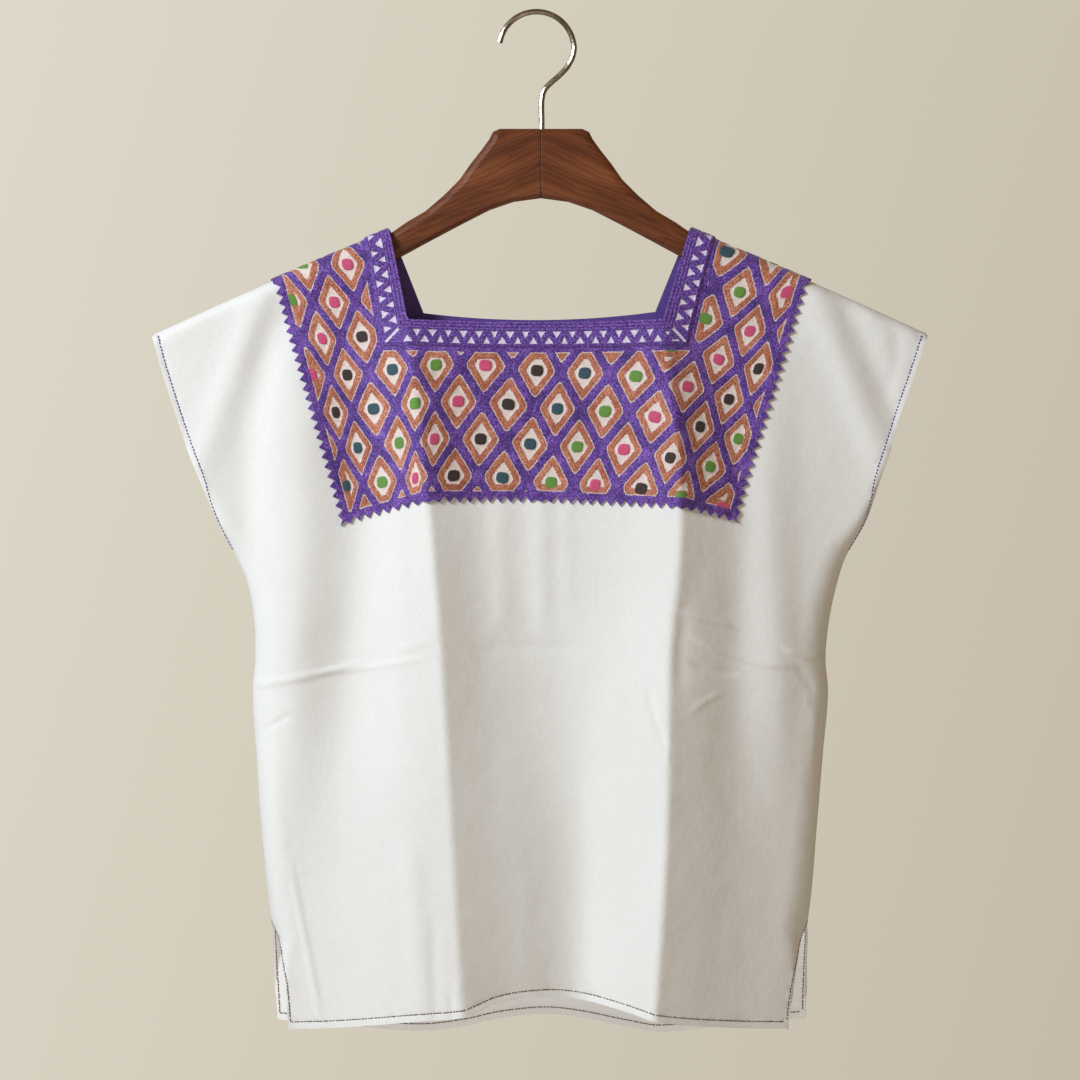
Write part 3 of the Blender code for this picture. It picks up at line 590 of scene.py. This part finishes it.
def strap_top(index, share):
    """A point on the shoulder fold, a share of the way out across the neckband."""
    x = NECK_SHOULDER_X[index] + (-1, 1)[index] * BAND_WIDTH * BAND_LEAN * share
    return np.array([x, flat_top(x)])


def neck_line(side, share):
    """A line round the neck, a share of the way out across the neckband."""
    mitres = (mitre(side, 0), mitre(side, 1))
    left, right = (inner + (outer - inner) * share for inner, outer in mitres)
    across = []
    for part in np.linspace(0, 1, 41):
        x, z = left + (right - left) * part
        across.append((x, z - NECK_SAG[side] * 4 * part * (1 - part)))
    return [tuple(strap_top(0, share))] + across + [tuple(strap_top(1, share))]


def yoke_loop(side):
    """The yoke's whole outline: toothed edge, shoulder folds and neck."""
    step = YOKE_GRID[0]
    edge = along_path(yoke_edge(side), step)
    neck = along_path(neck_line(side, 0.0), step)
    right_fold = fold_run(edge[-1], neck[-1], step)
    return edge + right_fold + neck[::-1] + fold_run(neck[0], edge[0], step)


def distance_to(points, path):
    """Distance of each point from an open path."""
    path = np.array(path)
    return np.min([from_piece(points, *ends) for ends in zip(path, path[1:])], axis=0)


def pattern_places(flat):
    """Column and row of the diamond pattern at points of the flat cloth."""
    across, up = flat.T
    lines = np.array(list(PATTERN_LINES), float)
    places = np.array(list(PATTERN_LINES.values())).T * MM
    read = np.stack([smooth_between(across, level, lines) for level in places])
    levels = len(read) - 1
    down = (PATTERN_TOP - up) / (PATTERN_TOP - PATTERN_FOOT) * levels
    cell = np.clip(down.astype(int), 0, levels - 1)
    part = np.clip(down - cell, 0.0, 1.0)
    every = np.arange(len(flat))
    columns = read[cell, every] * (1 - part) + read[cell + 1, every] * part
    drop = smooth_between(across, column(DROP_ROWS, 0), column(DROP_ROWS, 1))
    rows = (FIRST_ROW_Z - drop - up) / (DIAMOND_ROW * MM)
    return columns, rows


class Term:
    """A number inside a material, so that its formulas read as arithmetic."""

    def __init__(self, socket):
        self.socket = socket

    def made(self, operation, *others):
        tree = self.socket.id_data
        return Term(node(tree, "Math", self, *others, operation=operation).outputs[0])

    __add__ = __radd__ = partialmethod(made, "ADD")
    __sub__ = partialmethod(made, "SUBTRACT")
    __rsub__ = partialmethod(made, "MULTIPLY_ADD", -1.0)
    __mul__ = __rmul__ = partialmethod(made, "MULTIPLY")
    __truediv__ = partialmethod(made, "DIVIDE")
    __pow__ = partialmethod(made, "POWER")


def give(place, value):
    """Link a term or socket to a node's input, or set a plain value there."""
    if isinstance(value, Term):
        value = value.socket
    if isinstance(value, bpy.types.NodeSocket):
        place.id_data.links.new(value, place)
    elif isinstance(value, tuple) and place.type == "RGBA":
        place.default_value = (*value, 1.0)
    else:
        place.default_value = value


def either(operation, plain):
    """A function for terms of a material and for plain numbers."""
    def apply(value, *more):
        return value.made(operation, *more) if isinstance(value, Term) else plain(value, *more)
    return apply


absolute = either("ABSOLUTE", np.abs)
nearest = either("ROUND", lambda value: np.floor(value + 0.5))
sine = either("SINE", np.sin)
larger = either("MAXIMUM", np.maximum)
smaller = either("MINIMUM", np.minimum)


def rising(value, low, high):
    """0 up to low, 1 from high on, and smooth between them."""
    t = smaller(larger((value - low) / (high - low), 0.0), 1.0)
    return t * t * (3.0 - t * 2.0)


def diamonds(columns, rows, border):
    """Slanting row and column, how far a point is off their middles, its distance in mm from the
    nearest purple line or border, and from the dot's middle as a share of the dot's size.
    """
    down = columns + rows / 2
    across = columns - rows / 2
    off_down = down - nearest(down)
    off_across = across - nearest(across)
    reach = absolute(off_down) ** CORNER_POWER + absolute(off_across) ** CORNER_POWER
    line = (0.5 - reach ** (1 / CORNER_POWER)) * LINE_SCALE
    line = smaller(line, border + LINE_EDGE[0] + 0.3)
    beside = absolute(off_down + off_across) * (DIAMOND_WIDTH / 2 / DOT_SIZE[0])
    above = absolute(off_down - off_across) * (DIAMOND_ROW / DOT_SIZE[1])
    dot = (beside**DOT_SQUARENESS + above**DOT_SQUARENESS) ** (1 / DOT_SQUARENESS)
    return down, across, off_down, off_across, line, dot


def diamond_parts(line, dot):
    """How much there is of purple, of orange ring and of dot at a point."""
    purple = 1.0 - rising(line, *LINE_EDGE)
    ring = rising(line, *RING_IN) * (1.0 - rising(line, *RING_OUT))
    knot = 1.0 - rising(dot, 0.9, 1.05)
    return purple, ring, knot


def diamond_relief(purple, ring, knot):
    """Height of the thread in mm."""
    return larger(purple * RELIEF_LINE, larger(ring * RELIEF_RING, knot * RELIEF_DOT))


def band_white(along, out, end):
    """How far inside the neckband's white triangles or corner slit a point is, in mm."""
    first = along / TRIANGLE_PITCH
    second = first + 0.5
    upper = triangle(first, UPPER_TRIANGLE[1] - out, out - UPPER_TRIANGLE[0])
    lower = triangle(second, out - LOWER_TRIANGLE[0], LOWER_TRIANGLE[1] - out)
    white = smaller(larger(upper, lower), end - TRIANGLES_STOP)
    slit = smaller(SLIT_HALF - end, smaller(out - SLIT_RUN[0], SLIT_RUN[1] - out))
    return larger(white, slit)


def triangle(place, from_tip, from_base):
    """Distance in mm inside the nearest of a row of triangles, which differ in width."""
    number = nearest(place)
    beside = absolute(place - number) * TRIANGLE_PITCH
    half = from_tip * (TRIANGLE_HALF / (UPPER_TRIANGLE[1] - UPPER_TRIANGLE[0]))
    uneven = 0.9 + sine(number * 2.4) * 0.16
    return smaller(half * uneven - beside, from_base)


def colour(red, green, blue):
    """Linear colour from three screen values between 0 and 255."""
    parts = (value / 255 for value in (red, green, blue))
    return tuple(p / 12.92 if p < 0.04045 else ((p + 0.055) / 1.055) ** 2.4 for p in parts)


def node(tree, kind, *given, **settings):
    """A node with its first inputs and its settings filled in."""
    made = tree.nodes.new("ShaderNode" + kind)
    for name, value in settings.items():
        setattr(made, name, value)
    for place, value in zip(made.inputs, given):
        if value is not None:
            give(place, value)
    return made


def split(tree, place):
    return [Term(part) for part in node(tree, "SeparateXYZ", place).outputs]


def pattern_terms(tree):
    """The three numbers that a piece carries for its pattern."""
    return split(tree, node(tree, "Attribute", attribute_name="pattern").outputs["Vector"])


def vector(x, y, z):
    return node(x.socket.id_data, "CombineXYZ", x, y, z).outputs[0]


def noise(tree, place, scale, detail=2.0):
    return Term(node(tree, "TexNoise", place, None, scale, detail).outputs["Fac"])


def ramp(amount, *stops, constant=False):
    """A colour read from stops, each a place and three screen values."""
    made = node(amount.socket.id_data, "ValToRGB", amount)
    made.color_ramp.interpolation = "CONSTANT" if constant else "LINEAR"
    elements = made.color_ramp.elements
    while len(elements) < len(stops):
        elements.new(1.0)
    for element, (place, shade) in zip(elements, stops):
        element.position = place
        element.color = (*colour(*shade), 1.0)
    return made.outputs["Color"]


def mixed(amount, first, second):
    made = node(amount.socket.id_data, "Mix", data_type="RGBA")
    give(made.inputs[0], amount)
    give(made.inputs[6], first)
    give(made.inputs[7], second)
    return made.outputs[2]


def new_finish(name, roughness, **settings):
    """A material with constant shader settings, and its node tree."""
    made = bpy.data.materials.new(name)
    made.use_nodes = True
    for key, value in {"Roughness": roughness, **settings}.items():
        shader_input(made, key.replace("_", " ")).default_value = value
    return made, made.node_tree


def shader_input(made, name):
    return made.node_tree.nodes["Principled BSDF"].inputs[name]


def place_in_space(tree):
    return node(tree, "TexCoord").outputs["Object"]


def finished(made, shade, height):
    """Give a material its colour, and a relief in mm."""
    raised = node(made.node_tree, "Bump")
    raised.inputs["Distance"].default_value = MM
    give(raised.inputs["Height"], height)
    give(shader_input(made, "Base Color"), shade)
    give(shader_input(made, "Normal"), raised.outputs["Normal"])
    return made


PURPLE = ((0.4, (44, 16, 86)), (0.5, (88, 46, 146)), (0.6, (146, 104, 200)))
ORANGE = ((0.37, (128, 60, 40)), (0.5, (182, 104, 76)), (0.63, (226, 164, 138)))
GROUND = ((0.3, (204, 182, 178)), (0.6, (240, 226, 220)))
LILAC = ((0.3, (196, 182, 220)), (0.6, (232, 224, 242)))
WHITE = ((0.3, (232, 231, 229)), (0.7, (243, 243, 242)))
WALNUT = ((0.3, (76, 36, 16)), (0.52, (108, 56, 28)), (0.76, (138, 80, 46)))
METAL = ((0.3, (136, 124, 110)), (0.7, (172, 160, 146)))
# Backdrop stops, lighter then darker: painted shade across the wall.
BACKDROP = ((0.0, (221, 216, 200)), (1.0, (197, 187, 169)))
DOT_COLOURS = {
    "green": (96, 142, 56), "pink": (202, 74, 118), "brown": (50, 32, 28), "teal": (42, 74, 88),
}


def embroidery_finish():
    """Purple lattice, orange rings and coloured dots on white, worked in thread."""
    made, tree = new_finish("embroidery", 0.72, Sheen_Weight=0.25)
    columns, rows, border = pattern_terms(tree)
    space = place_in_space(tree)
    fleck = noise(tree, space, 950, 3.0)
    wander = noise(tree, space, 420, 1.0)
    down, across, off_down, off_across, line, dot = diamonds(columns, rows, border)
    by_down = rising(absolute(off_down) - absolute(off_across), -0.01, 0.01)
    along = (across * by_down + down * (1.0 - by_down)) * DIAMOND_WIDTH
    thread = noise(tree, vector(along * 0.42, line * 1.15, nearest(across) * 3.7), 1.0, 1.5)
    patches = noise(tree, space, 70, 2.0)
    grain = fleck * 0.5 + thread * 0.3 + patches * 0.2
    ragged = (fleck - 0.5) * 1.3 + (wander - 0.5) * 1.6
    purple, ring, knot = diamond_parts(line + ragged, dot + ragged * 0.07)
    number = (nearest(down) - (DOT_FIRST - 0.5)) / len(DOT_ORDER)
    stops = [(i / len(DOT_ORDER), DOT_COLOURS[name]) for i, name in enumerate(DOT_ORDER)]
    dots = node(tree, "VectorMath", ramp(number, *stops, constant=True), operation="SCALE")
    give(dots.inputs["Scale"], grain * 1.5 + 0.3)
    shade = mixed(ring, ramp(grain, *GROUND), ramp(grain, *ORANGE))
    shade = mixed(knot, shade, dots.outputs[0])
    shade = mixed(purple, shade, ramp(grain, *PURPLE))
    return finished(made, shade, diamond_relief(purple, ring, knot) * 0.5 + grain * 0.55)


def band_finish():
    """Purple neckband with two rows of white triangles."""
    made, tree = new_finish("neckband", 0.72, Sheen_Weight=0.25)
    along, out, end = pattern_terms(tree)
    fleck = noise(tree, place_in_space(tree), 950, 3.0)
    ragged = fleck - 0.5
    thread = noise(tree, vector(along * 0.5, out * 1.1, end * 0.0), 1.0, 1.5)
    grain = fleck * 0.55 + thread * 0.45
    white = rising(band_white(along, out, end) + ragged, -0.3, 0.4)
    # The chain rows are raised in the relief and painted a little lighter along their crests and darker
    # between them: a painted highlight and painted shade.
    rows = sine(out * (2 * math.pi / BAND_ROW)) * (1.0 - rising(out, 7.0, 8.0))
    shade = mixed(white, ramp(grain + rows * 0.045, *PURPLE), ramp(grain, *LILAC))
    return finished(made, shade, (1.0 - white) * 0.3 + rows * 0.12 + grain * 0.55)


def cotton_finish(name, through):
    """White cotton with slubs both ways and faint crumples. Its emission is a painted glow, which stands
    in for light from its other side.
    """
    # through sets the emission strength: a painted glow in place of light shining through the thin
    # cloth. Only the inner face's finish gets any.
    made, tree = new_finish(name, 0.9, Sheen_Weight=0.12, Emission_Strength=through)
    space = place_in_space(tree)
    x, y, z = split(tree, space)
    sideways = noise(tree, vector(x * 260, y * 900, z * 1500), 1.0, 1.0)
    upright = noise(tree, vector(x * 1500, y * 900, z * 260), 1.0, 1.0)
    crumple = noise(tree, space, 46, 3.0)
    broad = noise(tree, space, 9, 2.0)
    slub = sideways + upright
    return finished(made, ramp(slub * 0.35 + broad * 0.3, *WHITE), slub * 0.07 + crumple * 0.9)


def thread_finish(name, dark, light):
    made, tree = new_finish(name, 0.6, Sheen_Weight=0.2)
    fleck = noise(tree, place_in_space(tree), 1600, 2.0)
    return finished(made, ramp(fleck, (0.35, dark), (0.65, light)), fleck * 0.2)


def walnut_finish():
    """Dark wood whose grain runs out along each arm from the middle joint."""
    made, tree = new_finish("walnut", 0.5, Specular_IOR_Level=0.35, Coat_Weight=0.04)
    x, y, z = split(tree, place_in_space(tree))
    out = absolute(x)
    along = out * 0.93 - z * 0.37
    across = out * 0.37 + z * 0.93
    broad = noise(tree, vector(along * 14, y * 40, across * 90), 1.0, 3.0)
    rings = sine(across * 1500 + broad * 26) * 0.5 + 0.5
    pores = noise(tree, vector(along * 60, y * 900, across * 1500), 1.0, 2.0)
    joint = 1.0 - rising(out, 0.0002, 0.0007)
    shade = ramp(broad * 0.7 + rings * 0.12 + pores * 0.22, *WALNUT)
    give(shader_input(made, "Roughness"), pores * 0.2 + 0.32)
    return finished(made, mixed(joint, shade, colour(56, 26, 12)), pores * 0.09 - joint * 0.2)


def metal_finish():
    """Bright wire with fine scratchy marks, the same in every direction."""
    made, tree = new_finish("hook_metal", 0.25, Metallic=1.0)
    space = place_in_space(tree)
    cloudy = noise(tree, space, 160, 2.0)
    scratch = noise(tree, space, 1400, 2.0)
    give(shader_input(made, "Roughness"), scratch * 0.2 + 0.14)
    return finished(made, ramp(cloudy, *METAL), scratch * 0.05)


def added(name, data):
    made = bpy.data.objects.new(name, data)
    bpy.context.scene.collection.objects.link(made)
    return made


def link(name, mesh):
    made = added(name, mesh)
    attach(made, "root")
    return made


def triangle_areas(points, faces):
    a, b, c = (points[faces[:, i]] for i in range(3))
    return np.linalg.norm(np.cross(b - a, c - a), axis=1) / 2


def laid_flat(flat, faces, side):
    """Flat size of a piece, widened by what its folds take up, and its area."""
    draped = triangle_areas(drape(*flat.T, side), faces).sum()
    drawn = triangle_areas(np.pad(flat, ((0, 0), (0, 1))), faces).sum()
    width, length = np.ptp(flat, axis=0)
    return (float(width * draped / drawn), float(length)), float(draped)


def shell(name, flat, faces, side, inner, outer, finishes, pattern=None):
    """A closed wall between two offsets of a draped sheet.

    A second finish is for the face towards the hanger. A pattern is three numbers at each flat
    point, which the finish reads.
    """
    across, up = flat.T
    middle = drape(across, up, side)
    normals = outward(across, up, side)
    a, b, c = (flat[faces[:, i]] for i in range(3))
    signed = np.cross(b - a, c - a)
    backwards = signed < 0 if side == "front" else signed > 0
    faces = faces.copy()
    faces[backwards] = faces[backwards][:, ::-1]
    count = len(flat)
    offsets = [np.broadcast_to(offset, count)[:, None] for offset in (outer, inner)]
    points = np.concatenate([middle + normals * offset for offset in offsets])
    runs = np.concatenate([faces[:, [0, 1]], faces[:, [1, 2]], faces[:, [2, 0]]])
    known = {(start, end) for start, end in runs.tolist()}
    rims = [(e, s, s + count, e + count) for s, e in runs.tolist() if (e, s) not in known]
    mesh = bpy.data.meshes.new(name)
    inside = (faces[:, ::-1] + count).tolist()
    mesh.from_pydata(points.tolist(), [], faces.tolist() + inside + rims)
    mesh.update()
    mesh.shade_smooth()
    mesh.set_sharp_from_angle(angle=math.radians(60))
    for finish in finishes:
        mesh.materials.append(finish)
    if len(finishes) > 1:
        which = np.zeros(len(mesh.polygons), int)
        which[len(faces) : 2 * len(faces)] = 1
        mesh.polygons.foreach_set("material_index", which)
    if pattern is not None:
        stored = mesh.attributes.new("pattern", "FLOAT_VECTOR", "POINT")
        stored.data.foreach_set("vector", np.tile(pattern, (2, 1)).astype(np.float32).ravel())
    return link(name, mesh)


def sewn_lines(side, step=0.0):
    """Stitching lines of the hem, then of each side's slit and sleeve, moved in by a step."""
    ends = [flat_edge(HEM_EDGE_Z, side, sign, SLIT_INSET) for sign in (-1, 1)]
    lines = [[(x, float(hem_height(x, side)) + HEM_INSET + step) for x in np.linspace(*ends, 120)]]
    for sign in (-1, 1):
        foot = flat_edge(HEM_EDGE_Z, side, sign, SLIT_INSET + step)
        slit_foot_z = float(hem_height(foot, side)) + HEM_INSET
        for top, bottom, inset in (
            (SLIT_TOP_Z, slit_foot_z, SLIT_INSET + step),
            (SLEEVE_LINE_TOP, UNDERARM_Z, SLEEVE_INSET + step),
        ):
            heights = np.linspace(top, bottom, 30)
            lines.append([(flat_edge(z, side, sign, inset), z) for z in heights])
    return lines


def hem_build(flat, side):
    """How much the turned hems and their sunk stitching add to the wall."""
    across, up = flat.T
    edge, opened = side_edge(across, up, side)
    from_side = edge + QUARTER_EXTRA * side_roll(opened) - np.abs(across)
    from_hem = up - hem_height(across, side)
    on_slit = (up < SLIT_TOP_Z) & (from_side < SLIT_INSET)
    on_sleeve = (up > UNDERARM_Z) & (from_side < SLEEVE_INSET)
    turned = on_slit | on_sleeve | (from_hem < HEM_INSET)
    sunk = np.min([distance_to(flat, line) for line in sewn_lines(side)], axis=0)
    return HEM_THICKER * turned - HEM_GROOVE * np.exp(-((sunk / HEM_LINE_GAP) ** 2))


def crease_guides(side, loop):
    """Lines along each narrow crease and beside it, for the mesh to follow."""
    lines = []
    for row in CREASES[side]:
        width = row[6] * MM
        if width > COTTON_GRID[1]:
            continue
        start, run, length, bow = crease_curve(row)
        across = np.array([-run[1], run[0]])
        along = np.linspace(0, 1, int(round(length / CREASE_STEP)))[:, None]
        for step in CREASE_GUIDES:
            line = start + run * length * along + across * (bow * along * (1 - along) + step * width)
            inside = inside_loop(line, loop) & ~near_lines(line, loop, np.roll(loop, -1, axis=0), MM)
            lines.append(line[inside])
    return lines


def run_length(line):
    """How far along a line each of its points is."""
    return np.concatenate([[0], np.cumsum(np.hypot(*np.diff(line, axis=0).T))])


def read_along(line, far, places):
    """Points of a line at these distances along it."""
    return np.stack([np.interp(places, far, line[:, i]) for i in (0, 1)], axis=1)


def stitches(name, lines, side, finish, style, height, facing=1):
    """Rows of short raised stitches, on the inner face of the cloth where facing is -1."""
    pitch, length, radius = (value * MM for value in style)
    lifts, widths = np.array(STITCH_SHAPE).T[:, :, None] * radius
    turns = np.linspace(0, 2 * math.pi, STITCH_SIDES, endpoint=False)[:, None]
    last = (len(STITCH_SHAPE) - 1) * STITCH_SIDES
    points = []
    faces = []
    for line in lines:
        line = np.array(line)
        far = run_length(line)
        for number in range(int(far[-1] / pitch)):
            start = pitch * (number + 0.5 + 0.06 * math.sin(number * 2.7)) - length / 2
            across, up = read_along(line, far, start + length * np.array(STITCH_RINGS)).T
            across = across + 0.12 * MM * math.sin(number * 1.9)
            middle = drape(across, up, side)
            normal = outward(across, up, side) * facing
            run = middle[-1] - middle[0]
            beside = np.cross(run / np.linalg.norm(run), normal)
            first = len(points)
            centres = middle + normal * (height + lifts)
            for centre, a, b in zip(centres, beside * widths, normal * widths):
                points.extend(centre + a * np.cos(turns) + b * np.sin(turns))
            for a in range(first, first + last):
                b = a + 1 if (a + 1 - first) % STITCH_SIDES else a + 1 - STITCH_SIDES
                faces.append((a, b, b + STITCH_SIDES, a + STITCH_SIDES))
            faces.append(range(first + STITCH_SIDES - 1, first - 1, -1))
            faces.append(range(first + last, first + last + STITCH_SIDES))
    mesh = bpy.data.meshes.new(name)
    mesh.from_pydata([tuple(p) for p in points], [], [tuple(face) for face in faces])
    mesh.shade_smooth()
    mesh.materials.append(finish)
    return link(name, mesh)


def cotton_panel(side, finishes):
    """The white cloth with its turned hems and their stitching."""
    outline = panel_outline(side)
    guides = roll_rows(*COTTON_ROLL)
    for step in (-HEM_LINE_GAP, 0.0, HEM_LINE_GAP):
        guides += sewn_lines(side, step)
    guides += crease_guides(side, np.array(outline))
    flat, faces = filled_outline(outline, guides, COTTON_GRID)
    outer = COTTON[1] + hem_build(flat, side)
    sides = [finishes["cotton"], finishes["cotton_inside_glow"]]
    panel = shell(side + "_cloth", flat, faces, side, COTTON[0], outer, sides)
    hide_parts(side + "_panel")
    hem, left_slit, left_sleeve, right_slit, right_sleeve = sewn_lines(side)
    sleeves, brown = (left_sleeve, right_sleeve), (hem, left_slit, right_slit)
    height = COTTON[1] - HEM_GROOVE / 2
    inside = side + "_hem_stitches_inside"
    sewn = [
        stitches(side + "_sleeve_stitches", sleeves, side, finishes["purple"], PURPLE_STITCH, height),
        stitches(side + "_hem_stitches", brown, side, finishes["brown"], BROWN_STITCH, height),
        stitches(inside, brown, side, finishes["brown"], BROWN_STITCH, -COTTON[0], facing=-1),
    ]
    size, area = laid_flat(flat, faces, side)


def yoke(side, finishes):
    """The embroidered yoke, with its thread raised from the ground."""
    flat, faces = filled_outline(yoke_loop(side), roll_rows(*YOKE_ROLL), YOKE_GRID)
    columns, rows = pattern_places(flat)
    outer_edge = distance_to(flat, yoke_corners(side)) / MM - BORDER_OUT
    under_band = distance_to(flat, neck_line(side, 0.5)) - BAND_WIDTH / 2
    beside_band = distance_to(flat, neck_line(side, 1.0))
    neck_edge = np.minimum(under_band, beside_band) / MM - BORDER_NECK
    border = np.minimum(outer_edge, neck_edge)
    relief = diamond_relief(*diamond_parts(*diamonds(columns, rows, border)[-2:]))
    outer = YOKE[1] + relief * MM
    pattern = np.stack([columns, rows, border], axis=1)
    sides = [finishes["embroidery"], finishes["reverse"]]
    worked = shell(side + "_yoke_cloth", flat, faces, side, YOKE[0], outer, sides, pattern)
    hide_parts("yoke_" + side)
    size, area = laid_flat(flat, faces, side)
    return worked


def band_strip(side, part):
    """Flat points of one neckband strip, in rows along it."""
    piece = {"left": slice(2), "middle": slice(1, -1), "right": slice(-2, None)}[part]
    shares = np.linspace(0, 1, int(round(BAND_WIDTH / BAND_GRID[1])) + 1)
    lines = [np.array(neck_line(side, share))[piece] for share in shares]
    count = int(round(np.hypot(*(lines[0][-1] - lines[0][0])) / BAND_GRID[0]))
    grid = []
    for line in lines:
        far = run_length(line)
        grid.append(read_along(line, far, np.linspace(0, far[-1], count + 1)))
    return np.array(grid)


def band_places(side, part, grid):
    """Along the strip, out from the neck, and distance to a mitre, in mm."""
    rows, count = grid.shape[:2]
    flat = grid.reshape(-1, 2)
    out = np.repeat(np.linspace(0, BAND_WIDTH, rows), count)
    ends = []
    for index in {"left": (0,), "middle": (0, 1), "right": (1,)}[part]:
        inner, outer = mitre(side, index)
        run = (outer - inner) / np.hypot(*(outer - inner))
        ends.append(np.abs((flat - inner) @ np.array([-run[1], run[0]])))
    along = flat[:, 0]
    if part != "middle":
        top = strap_top(index, 0.5)
        run = (inner + outer) / 2 - top
        along = (flat - top) @ (run / np.hypot(*run))
    along, out, end = along / MM, out / MM, np.min(ends, axis=0) / MM
    shift = np.where(out < (UPPER_TRIANGLE[1] + LOWER_TRIANGLE[0]) / 2, 0.0, 0.5)
    middle = (nearest(along / TRIANGLE_PITCH + shift) - shift) * TRIANGLE_PITCH
    room = end + (np.abs(along) - np.abs(middle)) / math.hypot(1, BAND_LEAN)
    cut = (room < TRIANGLES_STOP) & (end > SLIT_HALF * 2)
    end = np.where(cut, np.minimum(end, TRIANGLES_STOP - 2), np.where(end > SLIT_HALF * 2, end + 6, end))
    return np.stack([along, out, end], axis=1)


def neckband(side, finishes):
    """Three strips round half of the square neck, mitred at the corners."""
    for part in ("left", "middle", "right"):
        grid = band_strip(side, part)
        rows, count = grid.shape[:2]
        flat = grid.reshape(-1, 2)
        corner = (np.arange(rows - 1)[:, None] * count + np.arange(count - 1)).reshape(-1, 1)
        faces = np.concatenate([corner + [0, 1, count + 1], corner + [0, count + 1, count]])
        pattern = band_places(side, part, grid)
        worked = 1.0 - rising(band_white(*pattern.T), -0.3, 0.4)
        bevel = rising(pattern[:, 1], BAND_WIDTH / MM - 2, BAND_WIDTH / MM)
        outer = BAND[1] + (RELIEF_BAND * worked - (RELIEF_BAND + BAND_BEVEL) * bevel) * MM
        name = side + "_band_" + part
        strip = shell(name, flat, faces, side, BAND[0], outer, [finishes["band"]], pattern)
        tail = "" if part == "middle" else "_" + part
        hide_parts("neckband_" + side + tail)
        size, area = laid_flat(flat, faces, side)


def make_camera():
    data = bpy.data.cameras.new("camera")
    data.lens = CAMERA_LENS
    data.sensor_width = 36
    made = added("camera", data)
    made.location = CAMERA_PLACE
    made.rotation_euler = (math.radians(90), 0, 0)
    bpy.context.scene.camera = made


def make_stage():
    world = bpy.data.worlds.new("studio")
    world.use_nodes = True
    tree = world.node_tree
    x, y, z = split(tree, node(tree, "TexCoord").outputs["Generated"])
    # The backdrop the camera sees is painted lighter towards the left and top and darker towards the
    # right and bottom, a painted fall of light across the wall.
    seen = ramp(x * 2.2 - z * 0.7 + 0.5, *BACKDROP)
    shown = node(tree, "LightPath").outputs["Is Camera Ray"]
    ambient = mixed(rising(x, -0.9, 0.9), AMBIENT_LEFT, AMBIENT_RIGHT)
    give(tree.nodes["Background"].inputs["Color"], mixed(Term(shown), ambient, seen))
    bpy.context.scene.world = world
    mesh = bpy.data.meshes.new("floor")
    signs = ((-1, -1), (1, -1), (1, 1), (-1, 1))
    corners = [(x * FLOOR_HALF, y * FLOOR_HALF, FLOOR_Z) for x, y in signs]
    mesh.from_pydata(corners, [], [(0, 1, 2, 3)])
    mesh.materials.append(new_finish("floor", 0.9, Base_Color=(0.75, 0.72, 0.66, 1.0))[0])
    floor = added("floor", mesh)
    for name, place, target, size, power, shade in LIGHTS:
        data = bpy.data.lights.new(name, "AREA")
        data.shape = "DISK"
        data.size = size
        data.energy = power
        data.color = shade
        lamp = added(name, data)
        lamp.location = place
        lamp.rotation_mode = "QUATERNION"
        lamp.rotation_quaternion = (Vector(target) - lamp.location).to_track_quat("-Z", "Y")
    bpy.context.scene.view_settings.view_transform = "Standard"


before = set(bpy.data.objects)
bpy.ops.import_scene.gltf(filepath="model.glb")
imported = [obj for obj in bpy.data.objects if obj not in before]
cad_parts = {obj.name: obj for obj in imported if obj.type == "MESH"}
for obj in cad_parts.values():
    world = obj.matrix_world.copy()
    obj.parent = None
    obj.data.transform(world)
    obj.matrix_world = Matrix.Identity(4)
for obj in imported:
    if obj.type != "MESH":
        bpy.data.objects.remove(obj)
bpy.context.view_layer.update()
make_camera()
make_stage()
finishes = {
    "cotton": cotton_finish("white_cotton", 0.0),
    # The inner face's finish glows a little: painted light standing in for light through the cloth.
    "cotton_inside_glow": cotton_finish("white_cotton_inside", 0.13),
    "embroidery": embroidery_finish(),
    "reverse": thread_finish("embroidery_reverse", (66, 40, 124), (116, 84, 172)),
    "band": band_finish(),
    "purple": thread_finish("purple_thread", (72, 54, 136), (122, 102, 180)),
    "brown": thread_finish("brown_thread", (84, 60, 46), (130, 102, 82)),
}
for side in SIDES:
    worked = yoke(side, finishes)
    cotton_panel(side, finishes)
    neckband(side, finishes)
for name, finish in (("hanger", walnut_finish()), ("hanger_hook", metal_finish())):
    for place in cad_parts[name].material_slots:
        place.material = finish
